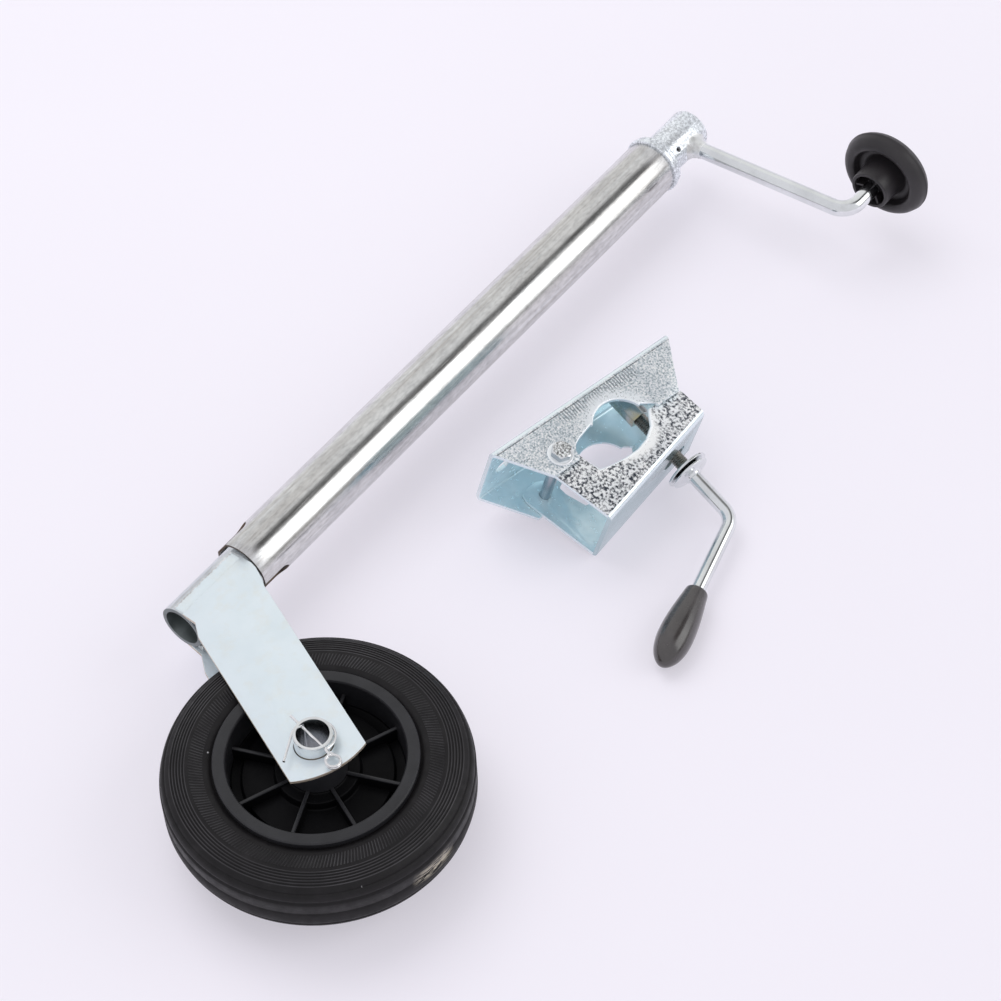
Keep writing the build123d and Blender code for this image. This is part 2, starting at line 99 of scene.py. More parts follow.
def mixc(nt, fac, a, b, mode="MIX"):
    n = nt.nodes.new("ShaderNodeMix")
    n.data_type = "RGBA"
    n.blend_type = mode
    for sock, v in ((n.inputs[0], fac), (n.inputs[6], a), (n.inputs[7], b)):
        if hasattr(v, "node"):
            nt.links.new(v, sock)
        elif hasattr(v, "__len__"):
            sock.default_value = (v[0], v[1], v[2], 1)
        else:
            sock.default_value = v
    return n.outputs[2]


def math_(nt, op, a, b=None, c=None):
    n = nt.nodes.new("ShaderNodeMath")
    n.operation = op
    for i, v in enumerate((a, b, c)):
        if v is None:
            continue
        if hasattr(v, "node"):
            nt.links.new(v, n.inputs[i])
        else:
            n.inputs[i].default_value = v
    return n.outputs[0]


def coords(nt, scale=(1, 1, 1), loc=(0, 0, 0), rot=(0, 0, 0)):
    t = nt.nodes.new("ShaderNodeTexCoord")
    mp = nt.nodes.new("ShaderNodeMapping")
    mp.inputs["Scale"].default_value = scale
    mp.inputs["Location"].default_value = loc
    mp.inputs["Rotation"].default_value = rot
    nt.links.new(t.outputs["Object"], mp.inputs["Vector"])
    return mp.outputs[0]


def tex(nt, vec, scale, detail=3.0, rough=0.5, kind="ShaderNodeTexNoise", out=0, **kw):
    n = nt.nodes.new(kind)
    nt.links.new(vec, n.inputs["Vector"])
    n.inputs["Scale"].default_value = scale
    if "Detail" in n.inputs:
        n.inputs["Detail"].default_value = detail
    if "Roughness" in n.inputs:
        n.inputs["Roughness"].default_value = rough
    for k, v in kw.items():
        if k in n.inputs:
            n.inputs[k].default_value = v
    return n.outputs[out]


def base(name):
    mat = bpy.data.materials.new(name)
    mat.use_nodes = True
    nt = mat.node_tree
    nt.nodes.clear()
    out = nt.nodes.new("ShaderNodeOutputMaterial")
    bs = nt.nodes.new("ShaderNodeBsdfPrincipled")
    nt.links.new(bs.outputs[0], out.inputs[0])
    return mat, nt, bs


def bump(nt, bs, height, strength, dist, prev=None):
    b = nt.nodes.new("ShaderNodeBump")
    b.inputs["Strength"].default_value = strength
    b.inputs["Distance"].default_value = dist
    nt.links.new(height, b.inputs["Height"])
    if prev is not None:
        nt.links.new(prev, b.inputs["Normal"])
    nt.links.new(b.outputs[0], bs.inputs["Normal"])
    return b.outputs[0]


def metal(name, col_a, col_b, stain, rough=(0.22, 0.42), streak=None, fine=0.00006,
          speck=None, stain_amt=0.5, grain=0.10, metallic=1.0, mottle=0.0):
    """Plated steel. streak: axis index the drawing marks run along; speck: (scale, dark, light)."""
    mat, nt, bs = base(name)
    v = coords(nt)
    big = tex(nt, v, 38.0, 4.0, 0.55)
    c = ramp(nt, [(0.34, col_b), (0.62, col_a)], big)
    if streak is not None:
        s = [260.0, 260.0, 260.0]
        s[streak] = 5.0
        vs = coords(nt, scale=tuple(s))
        lines = tex(nt, vs, 1.0, 5.0, 0.62)
        c = mixc(nt, ramp(nt, [(0.40, 0.0), (0.72, stain_amt)], lines), c, stain)
        s2 = [900.0, 900.0, 900.0]
        s2[streak] = 22.0
        vl = coords(nt, scale=tuple(s2))
        lines2 = tex(nt, vl, 1.0, 3.0, 0.6)
    else:
        blot = tex(nt, coords(nt, loc=(0.31, 0.17, 0.23)), 85.0, 5.0, 0.6)
        c = mixc(nt, ramp(nt, [(0.50, 0.0), (0.74, stain_amt)], blot), c, stain)
        lines2 = tex(nt, v, 520.0, 3.0, 0.6)
    rr = ramp(nt, [(0.3, rough[0]), (0.7, rough[1])], lines2 if streak is not None else tex(nt, v, 210.0, 4.0, 0.6))
    if speck:
        sc, dk, lt = speck
        sp = tex(nt, v, sc, 2.0, 0.65)
        c = mixc(nt, 1.0, c, ramp(nt, [(0.36, dk), (0.50, (dk + lt) / 2), (0.62, lt)], sp), "MULTIPLY")
        height = sp
    else:
        height = lines2
    if mottle:
        # crystalline mottling, a few millimetres across
        s3 = [1.0, 1.0, 1.0]
        s3[streak] = 0.38
        vm_ = coords(nt, scale=tuple(s3))
        mot = tex(nt, vm_, 420.0, 3.0, 0.62)
        c = mixc(nt, 1.0, c, ramp(nt, [(0.34, 1 - mottle), (0.52, 1.0), (0.66, 1.06)], mot), "MULTIPLY")
    nt.links.new(c, bs.inputs["Base Color"])
    nt.links.new(rr, bs.inputs["Roughness"])
    bs.inputs["Metallic"].default_value = metallic
    bs.inputs["Specular IOR Level"].default_value = 0.5
    b1 = bump(nt, bs, height, 0.35 if not speck else 0.9, fine if not speck else 0.00012)
    if mottle:
        b1 = bump(nt, bs, mot, 0.35, 0.00005, b1)
    bump(nt, bs, tex(nt, v, 1500.0, 2.0, 0.5), grain, 0.00005, b1)
    return mat


M = {}
M["tube"] = metal("zinc_tube", (0.73, 0.735, 0.735), (0.65, 0.655, 0.66), (0.34, 0.30, 0.26), (0.14, 0.28), 1, stain_amt=0.45, mottle=0.15)
M["inner"] = metal("zinc_inner_tube", (0.72, 0.76, 0.78), (0.62, 0.66, 0.69), (0.42, 0.39, 0.35), (0.26, 0.42), 1, stain_amt=0.35, mottle=0.12)
M["fork"] = metal("zinc_fork", (0.74, 0.815, 0.855), (0.71, 0.79, 0.83), (0.72, 0.70, 0.62), (0.30, 0.46), None, stain_amt=0.32, metallic=0.55)
M["edge"] = metal("zinc_edge_tinted", (0.62, 0.55, 0.46), (0.50, 0.42, 0.33), (0.34, 0.22, 0.13), (0.30, 0.45), None, stain_amt=0.7, metallic=0.6)
M["cut"] = metal("raw_cut_edge", (0.13, 0.10, 0.085), (0.07, 0.055, 0.045), (0.20, 0.12, 0.07), (0.35, 0.5), None, stain_amt=0.6, metallic=0.6)
M["head"] = metal("zinc_head", (0.86, 0.90, 0.94), (0.78, 0.82, 0.86), (0.50, 0.48, 0.46), (0.20, 0.38), None,
                  speck=(560.0, 0.62, 1.12), stain_amt=0.3, metallic=0.65)
# painted shade: a dark copy of the zinc for the bore of the inner tube
M["hollow"] = metal("zinc_inside_tube_painted_shade", (0.26, 0.29, 0.29), (0.18, 0.20, 0.20), (0.12, 0.12, 0.11), (0.35, 0.5), None, stain_amt=0.5)
M["bright"] = metal("zinc_bright", (0.82, 0.84, 0.85), (0.72, 0.74, 0.75), (0.50, 0.50, 0.49), (0.09, 0.20), None, stain_amt=0.25)
M["thread"] = metal("zinc_thread", (0.30, 0.29, 0.26), (0.16, 0.155, 0.14), (0.08, 0.075, 0.06), (0.20, 0.36), None, stain_amt=0.6)
M["weld"] = metal("zinc_weld", (0.84, 0.85, 0.85), (0.62, 0.63, 0.62), (0.24, 0.22, 0.20), (0.24, 0.44), None, stain_amt=0.70, grain=0.3, metallic=0.75)
M["blue"] = metal("zinc_blue_inside", (0.76, 0.92, 0.97), (0.62, 0.82, 0.89), (0.40, 0.62, 0.71), (0.16, 0.30), None, stain_amt=0.40,
                  metallic=0.42, fine=0.000005, grain=0.01)
# painted highlight: a lighter copy of the zinc for the bends and edges of the clamp
M["pale"] = metal("zinc_bends_painted_highlight", (0.82, 0.90, 0.93), (0.74, 0.83, 0.87), (0.62, 0.70, 0.74), (0.14, 0.26), None, stain_amt=0.3,
                  metallic=0.7, fine=0.000004, grain=0.01)
# darker copy of the same zinc for the flat outer faces of the webs, set against the painted-highlight bends
M["side"] = metal("zinc_side", (0.50, 0.61, 0.64), (0.45, 0.56, 0.59), (0.38, 0.47, 0.50), (0.18, 0.26), None, stain_amt=0.3,
                  metallic=0.75, fine=0.000004, grain=0.01)
M["lip"] = metal("zinc_rolled_lip", (0.96, 0.98, 0.99), (0.88, 0.92, 0.94), (0.72, 0.76, 0.78), (0.16, 0.28), None, stain_amt=0.2,
                 metallic=0.35, fine=0.000004, grain=0.01)
# painted shade: a darker copy of the bolt's zinc for the shank and the hex flanks
M["shank"] = metal("zinc_shank_painted_shade", (0.46, 0.51, 0.55), (0.34, 0.38, 0.42), (0.20, 0.22, 0.24), (0.16, 0.28), None, stain_amt=0.4)
M["bolt_top"] = metal("zinc_bolt_top", (0.92, 0.94, 0.94), (0.84, 0.86, 0.87), (0.60, 0.60, 0.58), (0.24, 0.40), None,
                      speck=(820.0, 0.12, 1.12), stain_amt=0.3, metallic=0.5)


def speckled(name, scale, dark, light, r0, r1, smooth, rays, contrast=(0.40, 0.58)):
    """Coarse crystalline zinc that turns smooth towards the pressed recess round the tube's axis."""
    mat, nt, bs = base(name)
    v = coords(nt)

    def vm(op, a, b=None, out=0, scale_=None):
        n = nt.nodes.new("ShaderNodeVectorMath")
        n.operation = op
        for i, q in enumerate((a, b)):
            if q is None:
                continue
            if hasattr(q, "node"):
                nt.links.new(q, n.inputs[i])
            else:
                n.inputs[i].default_value = q
        if scale_ is not None:
            nt.links.new(scale_, n.inputs["Scale"])
        return n.outputs[out]
    rel = vm("SUBTRACT", v, tuple(C(38.0, 88.0, 31.0)))
    dot = vm("DOT_PRODUCT", rel, tuple(CH), out=1)
    along_h = vm("SCALE", tuple(CH), None, scale_=dot)
    flat = vm("SUBTRACT", rel, along_h)
    dist = vm("LENGTH", flat, out=1)
    dot_a = vm("DOT_PRODUCT", rel, tuple(CA), out=1)
    wob = tex(nt, v, 90.0, 3.0, 0.6)
    d2 = math_(nt, "ADD", dist, math_(nt, "MULTIPLY", math_(nt, "SUBTRACT", wob, 0.5), 0.009))
    far = ramp(nt, [(0.0, 0.0), (1.0, 1.0)], math_(nt, "DIVIDE", math_(nt, "SUBTRACT", d2, r0), r1 - r0))
    sp = tex(nt, v, scale, 2.5, 0.62)
    c = ramp(nt, [(contrast[0], dark), ((contrast[0] + contrast[1]) / 2, tuple((p + q) / 2 for p, q in zip(dark, light))), (contrast[1], light)], sp)
    broad = tex(nt, v, 30.0, 3.0, 0.6)
    c = mixc(nt, 1.0, c, ramp(nt, [(0.35, (0.84, 0.86, 0.88)), (0.65, (1.0, 1.0, 1.0))], broad), "MULTIPLY")
    if rays:
        # fine marks drawn square to the bend, and a painted shade line in the crease where the bend starts
        wmm = math_(nt, "ADD", math_(nt, "MULTIPLY", vm("DOT_PRODUCT", rel, tuple(CW), out=1), 1000.0), 38.0)
        amm = math_(nt, "ADD", math_(nt, "MULTIPLY", dot_a, 1000.0), 88.0)
        ry = tex(nt, v, 170.0, 2.0, 0.5)
        hatch = math_(nt, "SINE", math_(nt, "ADD", math_(nt, "MULTIPLY", amm, 2.9), math_(nt, "MULTIPLY", ry, 5.0)))
        deep = math_(nt, "ADD", wmm, math_(nt, "MULTIPLY", math_(nt, "SUBTRACT", ry, 0.5), 9.0))
        zone = ramp(nt, [(0.0, 0.0), (0.04, 1.0), (0.55, 1.0), (0.75, 0.0)], math_(nt, "DIVIDE", math_(nt, "SUBTRACT", deep, 4.6), 14.0))
        span = math_(nt, "SUBTRACT", 1.0, math_(nt, "SMOOTH_MIN", math_(nt, "POWER", math_(nt, "DIVIDE", math_(nt, "ABSOLUTE", math_(nt, "SUBTRACT", amm, 90.0)), 38.0), 6.0), 1.0, 0.1))
        m_ = math_(nt, "MULTIPLY", math_(nt, "MULTIPLY", ramp(nt, [(0.10, 0.0), (0.55, 0.90)], hatch), zone), span)
        c = mixc(nt, m_, c, (0.20, 0.23, 0.26))
        seam = ramp(nt, [(0.0, 1.0), (0.22, 0.8), (0.45, 0.0)], math_(nt, "ABSOLUTE", math_(nt, "SUBTRACT", wmm, 5.0)))
        seam = math_(nt, "MULTIPLY", seam, ramp(nt, [(0.34, 0.15), (0.50, 0.95)], tex(nt, v, 210.0, 3.0, 0.6)))
    c = mixc(nt, far, smooth, c)
    if rays:
        # painted shade: near-black line along the crease where the bend starts
        c = mixc(nt, seam, c, (0.06, 0.07, 0.09))
    nt.links.new(c, bs.inputs["Base Color"])
    nt.links.new(ramp(nt, [(0.35, 0.26), (0.65, 0.44)], sp), bs.inputs["Roughness"])
    bs.inputs["Metallic"].default_value = 0.55
    bs.inputs["Specular IOR Level"].default_value = 0.5
    b1 = bump(nt, bs, math_(nt, "MULTIPLY", sp, far), 0.7, 0.00010)
    bump(nt, bs, tex(nt, v, 1600.0, 2.0, 0.5), 0.12, 0.00004, b1)
    return mat


M["speck"] = speckled("zinc_speckled", 760.0, (0.52, 0.59, 0.63), (1.0, 1.0, 1.0), 0.0245, 0.0315, (0.90, 0.94, 0.97), True, (0.42, 0.60))
M["speck2"] = speckled("zinc_speckled_jaw", 470.0, (0.07, 0.08, 0.10), (1.0, 1.0, 1.0), 0.0225, 0.0275, (0.97, 0.98, 0.98), False, (0.40, 0.56))
M["yellow"] = metal("zinc_yellow", (0.42, 0.46, 0.45), (0.31, 0.34, 0.34), (0.46, 0.39, 0.13), (0.16, 0.30), None, stain_amt=0.65)
M["steel"] = metal("oiled_steel", (0.42, 0.42, 0.43), (0.28, 0.28, 0.29), (0.16, 0.15, 0.13), (0.25, 0.42), None, stain_amt=0.5)
M["bearing"] = metal("bearing_steel", (0.62, 0.63, 0.65), (0.52, 0.53, 0.55), (0.40, 0.40, 0.41), (0.12, 0.22), None, stain_amt=0.2)
M["wire"] = metal("spring_wire", (0.88, 0.88, 0.88), (0.74, 0.74, 0.74), (0.5, 0.49, 0.47), (0.10, 0.20), None, stain_amt=0.2)


def plastic(name, col, col2, rough, bump_scale, bump_amt, spec=0.5, coat=0.0):
    mat, nt, bs = base(name)
    v = coords(nt)
    c = ramp(nt, [(0.32, col), (0.68, col2)], tex(nt, v, 60.0, 5.0, 0.6))
    nt.links.new(c, bs.inputs["Base Color"])
    rr = ramp(nt, [(0.3, rough[0]), (0.7, rough[1])], tex(nt, v, 140.0, 4.0, 0.6))
    nt.links.new(rr, bs.inputs["Roughness"])
    bs.inputs["Specular IOR Level"].default_value = spec
    if coat:
        bs.inputs["Coat Weight"].default_value = coat
        bs.inputs["Coat Roughness"].default_value = 0.12
    bump(nt, bs, tex(nt, v, bump_scale, 3.0, 0.55), bump_amt, 0.0001)
    return mat


M["knob"] = plastic("knob_plastic", (0.014, 0.012, 0.014), (0.022, 0.019, 0.021), (0.34, 0.48), 900.0, 0.12)
M["grip"] = plastic("grip_plastic", (0.026, 0.022, 0.022), (0.046, 0.040, 0.039), (0.16, 0.30), 500.0, 0.10, spec=0.7, coat=0.5)
M["rim"] = plastic("rim_plastic", (0.013, 0.013, 0.015), (0.020, 0.020, 0.023), (0.34, 0.46), 1100.0, 0.15, spec=0.42)
# painted shade: a much darker, less shiny copy of the rim plastic for the deep pockets between the ribs
M["pocket"] = plastic("rim_plastic_pockets_painted_shade", (0.0016, 0.0016, 0.0020), (0.0032, 0.0032, 0.0038), (0.40, 0.52), 900.0, 0.12, spec=0.10)
M["nylon"] = plastic("nylon", (0.66, 0.65, 0.60), (0.74, 0.73, 0.68), (0.40, 0.5), 700.0, 0.1)


def rubber():
    mat, nt, bs = base("tyre_rubber")
    v = coords(nt, loc=tuple(-J(148.0, -115.4, 0.0)))
    sep = nt.nodes.new("ShaderNodeSeparateXYZ")
    nt.links.new(v, sep.inputs[0])
    x, y, z = sep.outputs
    rad = math_(nt, "POWER", math_(nt, "ADD", math_(nt, "MULTIPLY", x, x), math_(nt, "MULTIPLY", y, y)), 0.5)
    ang = math_(nt, "ARCTAN2", y, x)
    # radial knurl on the sidewall between r 69 and 80 mm
    knurl = math_(nt, "SINE", math_(nt, "ADD", math_(nt, "MULTIPLY", ang, 232.0), math_(nt, "MULTIPLY", rad, 900.0)))
    band = math_(nt, "MULTIPLY", math_(nt, "GREATER_THAN", rad, 0.0715), math_(nt, "LESS_THAN", rad, 0.0805))
    knurl = math_(nt, "MULTIPLY", knurl, band)
    blot = tex(nt, v, 45.0, 5.0, 0.65)
    c = ramp(nt, [(0.30, (0.0045, 0.0039, 0.0045)), (0.55, (0.0070, 0.0062, 0.0070)), (0.75, (0.014, 0.0125, 0.014))], blot)
    # painted highlights: the knurl's teeth and the lands between the rings are painted lighter, broken up by noise
    highlight_breakup = ramp(nt, [(0.36, 0.15), (0.60, 1.0)], tex(nt, coords(nt, loc=(0.9, 0.4, 0.1)), 26.0, 4.0, 0.6))
    tooth = math_(nt, "MULTIPLY", ramp(nt, [(0.30, 0.0), (0.75, 0.85)], knurl), highlight_breakup)
    c = mixc(nt, tooth, c, (0.050, 0.048, 0.052))
    rmm = math_(nt, "MULTIPLY", rad, 1000.0)
    fr = math_(nt, "FRACT", math_(nt, "DIVIDE", math_(nt, "SUBTRACT", rmm, 84.0), 1.885))
    land_highlight = ramp(nt, [(0.08, 1.0), (0.20, 0.0)], math_(nt, "ABSOLUTE", math_(nt, "SUBTRACT", fr, 0.5)))
    groove_shade = ramp(nt, [(0.33, 0.0), (0.45, 1.0)], math_(nt, "ABSOLUTE", math_(nt, "SUBTRACT", fr, 0.5)))
    rings_ = math_(nt, "MULTIPLY", math_(nt, "MULTIPLY", math_(nt, "GREATER_THAN", rmm, 82.6), math_(nt, "LESS_THAN", rmm, 93.0)),
                   math_(nt, "GREATER_THAN", math_(nt, "ABSOLUTE", z), 0.016))
    # painted highlight on the lands between the sidewall rings
    c = mixc(nt, math_(nt, "MULTIPLY", math_(nt, "MULTIPLY", land_highlight, rings_), math_(nt, "ADD", 0.35, math_(nt, "MULTIPLY", highlight_breakup, 0.5))), c, (0.060, 0.057, 0.062))
    # painted shade: the bottoms of the sidewall ring grooves are painted near-black
    c = mixc(nt, math_(nt, "MULTIPLY", groove_shade, rings_), c, (0.002, 0.002, 0.002))
    fine = tex(nt, v, 1300.0, 3.0, 0.7)
    c = mixc(nt, ramp(nt, [(0.60, 0.0), (0.80, 0.35)], fine), c, (0.036, 0.034, 0.038))
    # dust specks
    vo = nt.nodes.new("ShaderNodeTexVoronoi")
    vo.inputs["Scale"].default_value = 62.0
    nt.links.new(v, vo.inputs["Vector"])
    dot = ramp(nt, [(0.0, 1.0), (0.034, 0.75), (0.045, 0.0)], vo.outputs["Distance"])
    pick = ramp(nt, [(0.48, 0.0), (0.54, 1.0)], tex(nt, coords(nt, loc=(0.5, 0.2, 0.7)), 23.0, 1.0, 0.5))
    c = mixc(nt, math_(nt, "MULTIPLY", dot, pick), c, (0.48, 0.47, 0.49))
    # scuff on the tread: pale scratches that run round the wheel
    away = math_(nt, "ABSOLUTE", math_(nt, "ADD", ang, radians(4.0)))
    along_ = ramp(nt, [(0.0, 1.0), (0.10, 0.8), (0.19, 0.0)], away)
    level = ramp(nt, [(0.0, 1.0), (0.0030, 0.8), (0.0065, 0.0)], math_(nt, "ABSOLUTE", math_(nt, "SUBTRACT", z, 0.001)))
    outside = math_(nt, "GREATER_THAN", rad, 0.0985)
    cyl = nt.nodes.new("ShaderNodeCombineXYZ")
    nt.links.new(math_(nt, "MULTIPLY", ang, 9.0), cyl.inputs[0])
    nt.links.new(math_(nt, "MULTIPLY", z, 620.0), cyl.inputs[1])
    scr = ramp(nt, [(0.46, 0.0), (0.53, 1.0)], tex(nt, cyl.outputs[0], 1.0, 4.0, 0.65))
    scuff = math_(nt, "MULTIPLY", math_(nt, "MULTIPLY", along_, level), math_(nt, "MULTIPLY", outside, scr))
    c = mixc(nt, math_(nt, "MULTIPLY", scuff, 0.95), c, (0.66, 0.60, 0.49))
    nt.links.new(c, bs.inputs["Base Color"])
    nt.links.new(ramp(nt, [(0.3, 0.44), (0.7, 0.62)], tex(nt, v, 160.0, 4.0, 0.6)), bs.inputs["Roughness"])
    bs.inputs["Specular IOR Level"].default_value = 0.26
    b1 = bump(nt, bs, knurl, 0.8, 0.00025)
    bump(nt, bs, fine, 0.35, 0.00010, b1)
    return mat


M["tyre"] = rubber()


# ------------------------------------------------------------- mesh tools
def rp(pts, closed=True, n=5):
    """Polyline with rounded corners; a third number is a corner's radius."""
    out, k = [], len(pts)
    for i, p in enumerate(pts):
        r = p[2] if len(p) > 2 else 0.0
        if r <= 0 or (not closed and i in (0, k - 1)):
            out.append((p[0], p[1]))
            continue
        b = Vector(p[:2])
        u = Vector(pts[i - 1][:2]) - b
        v = Vector(pts[(i + 1) % k][:2]) - b
        lu, lv = u.length, v.length
        u, v = u.normalized(), v.normalized()
        half = u.angle(v) / 2
        d = min(r / tan(half), 0.48 * lu, 0.48 * lv)
        rr = d * tan(half)
        cen = b + (u + v).normalized() * (rr / sin(half))
        s, e = b + u * d - cen, b + v * d - cen
        a0 = atan2(s.y, s.x)
        da = atan2(e.y, e.x) - a0
        while da > pi:
            da -= 2 * pi
        while da < -pi:
            da += 2 * pi
        for j in range(n + 1):
            a = a0 + da * j / n
            out.append((cen.x + rr * cos(a), cen.y + rr * sin(a)))
    return out


def smooth_line(pts, n=8):
    """Catmull-Rom curve through 2-D or 3-D points."""
    P = [Vector(p) for p in pts]
    P = [P[0] * 2 - P[1]] + P + [P[-1] * 2 - P[-2]]
    out = []
    for i in range(1, len(P) - 2):
        a, b, c, d = P[i - 1:i + 3]
        for j in range(n):
            t = j / n
            out.append(0.5 * ((2 * b) + (c - a) * t + (2 * a - 5 * b + 4 * c - d) * t * t
                              + (3 * b - a - 3 * c + d) * t ** 3))
    out.append(P[-2])
    return out


def finish_mesh(name, bm, mat, body, nodes=(), sharp=35.0, mats=None, weld=1e-7):
    bmesh.ops.remove_doubles(bm, verts=bm.verts, dist=weld)
    bmesh.ops.recalc_face_normals(bm, faces=bm.faces)
    for f in bm.faces:
        f.smooth = True
    lim = radians(sharp)
    for e in bm.edges:
        e.smooth = not (len(e.link_faces) == 2 and e.calc_face_angle(0.0) > lim)
    me = bpy.data.meshes.new(name)
    bm.to_mesh(me)
    bm.free()
    ob = bpy.data.objects.new(name, me)
    bpy.context.scene.collection.objects.link(ob)
    for mt in (mats or [mat]):
        me.materials.append(mt)
    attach(ob, body)
    if nodes:
        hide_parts(*nodes)
    return ob


def lathe_into(bm, prof, place, seg=128, closed=True):
    """prof: (r, t) points; place(r, angle, t) gives a row point. Radii of 0 close to a point."""
    rings = []
    for r, t in prof:
        if r < 1e-6:
            v = bm.verts.new(place(0.0, 0.0, t))
            rings.append([v] * seg)
        else:
            rings.append([bm.verts.new(place(r, 2 * pi * i / seg, t)) for i in range(seg)])
    k = len(rings)
    for i in range(k if closed else k - 1):
        a, b = rings[i], rings[(i + 1) % k]
        for j in range(seg):
            q = [a[j], a[(j + 1) % seg], b[(j + 1) % seg], b[j]]
            u = []
            for v in q:
                if v not in u:
                    u.append(v)
            if len(u) > 2:
                bm.faces.new(u)


def about_y(cx, cz):
    return lambda r, a, t: J(cx + r * cos(a), t, cz + r * sin(a))


def about_z(cx, cy):
    return lambda r, a, t: J(cx + r * cos(a), cy + r * sin(a), t)


def about_line(o, d):
    """Lathe place for a line through o (J millimetres) along d."""
    d = Vector(d).normalized()
    e = d.orthogonal().normalized()
    g = d.cross(e)
    o = Vector(o)
    def place(r, a, t):
        q = o + d * t + e * (r * cos(a)) + g * (r * sin(a))
        return J(q.x, q.y, q.z)
    return place


def lathe(name, prof, place, mat, body, nodes=(), seg=128, closed=True, sharp=35.0):
    bm = bmesh.new()
    lathe_into(bm, prof, place, seg, closed)
    return finish_mesh(name, bm, mat, body, nodes, sharp)


def sweep_into(bm, pts, radius, seg=40, cap=True):
    """Tube along J-millimetre points. radius: number or function (length along, angle) -> mm."""
    P = [Vector(p) for p in pts]
    T = []
    for i in range(len(P)):
        a = P[max(i - 1, 0)]
        b = P[min(i + 1, len(P) - 1)]
        T.append((b - a).normalized())
    n = T[0].orthogonal().normalized()
    rings, s = [], 0.0
    for i, p in enumerate(P):
        if i:
            s += (p - P[i - 1]).length
            q = T[i - 1].rotation_difference(T[i])
            n = (q @ n).normalized()
        b = T[i].cross(n)
        ring = []
        for j in range(seg):
            a = 2 * pi * j / seg
            r = radius(s, a) if callable(radius) else radius
            v = p + n * (r * cos(a)) + b * (r * sin(a))
            ring.append(bm.verts.new(J(v.x, v.y, v.z)))
        rings.append(ring)
    for a, b in zip(rings, rings[1:]):
        for j in range(seg):
            bm.faces.new([a[j], a[(j + 1) % seg], b[(j + 1) % seg], b[j]])
    if cap:
        bm.faces.new(rings[0][::-1])
        bm.faces.new(rings[-1])


def bent(points, radii, step=1.0, n=14):
    """Line through 3-D points with rounded corners, in points about step apart."""
    P = [Vector(p) for p in points]
    out = [P[0]]
    for i in range(1, len(P) - 1):
        b = P[i]
        u, v = (P[i - 1] - b).normalized(), (P[i + 1] - b).normalized()
        half = u.angle(v) / 2
        r = radii[i - 1]
        d = r / tan(half)
        cen = b + (u + v).normalized() * (r / sin(half))
        s, e = b + u * d, b + v * d
        axis = (s - cen).cross(e - cen).normalized()
        total = (s - cen).angle(e - cen)
        for j in range(n + 1):
            out.append(cen + Matrix.Rotation(total * j / n, 3, axis) @ (s - cen))
    out.append(P[-1])
    fine = [out[0]]
    for a, b in zip(out, out[1:]):
        k = max(1, int((b - a).length / step))
        for j in range(1, k + 1):
            fine.append(a.lerp(b, j / k))
    return fine


def C3(w, a, h):
    return CL_O + CW * w + CA * a + CH * h


def detail(node, name, mat, body, slot, width=0.35, seg=3, angle=28.0, sharp=35.0, pick=None, mats=None, lip=None, lip_w=2.0):
    """The node's own shape with rolled edges, in place of the node."""
    bm = bmesh.new()
    bm.from_mesh(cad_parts[node].data)
    bmesh.ops.remove_doubles(bm, verts=bm.verts, dist=3e-6)
    bmesh.ops.dissolve_limit(bm, angle_limit=radians(0.6), verts=bm.verts, edges=bm.edges)
    bmesh.ops.recalc_face_normals(bm, faces=bm.faces)
    for f in bm.faces:
        f.smooth = True
    if lip:
        edges = [e for e in bm.edges if len(e.link_faces) == 2 and e.calc_face_angle(0.0) > radians(60) and lip(e)]
        bmesh.ops.bevel(bm, geom=edges, offset=lip_w / 1000, offset_type="OFFSET", segments=5,
                        profile=0.5, affect="EDGES", clamp_overlap=True, material=-1)
    if width:
        lim = radians(angle)
        edges = [e for e in bm.edges if len(e.link_faces) == 2 and e.calc_face_angle(0.0) > lim]
        bmesh.ops.bevel(bm, geom=edges, offset=width / 1000, offset_type="OFFSET", segments=seg,
                        profile=0.5, affect="EDGES", clamp_overlap=True, material=-1)
    if pick:
        bmesh.ops.recalc_face_normals(bm, faces=bm.faces)
        for f in bm.faces:
            f.material_index = pick(f)
    ob = finish_mesh(name, bm, mat, body, (node,), sharp, mats, weld=1e-6)
    return ob


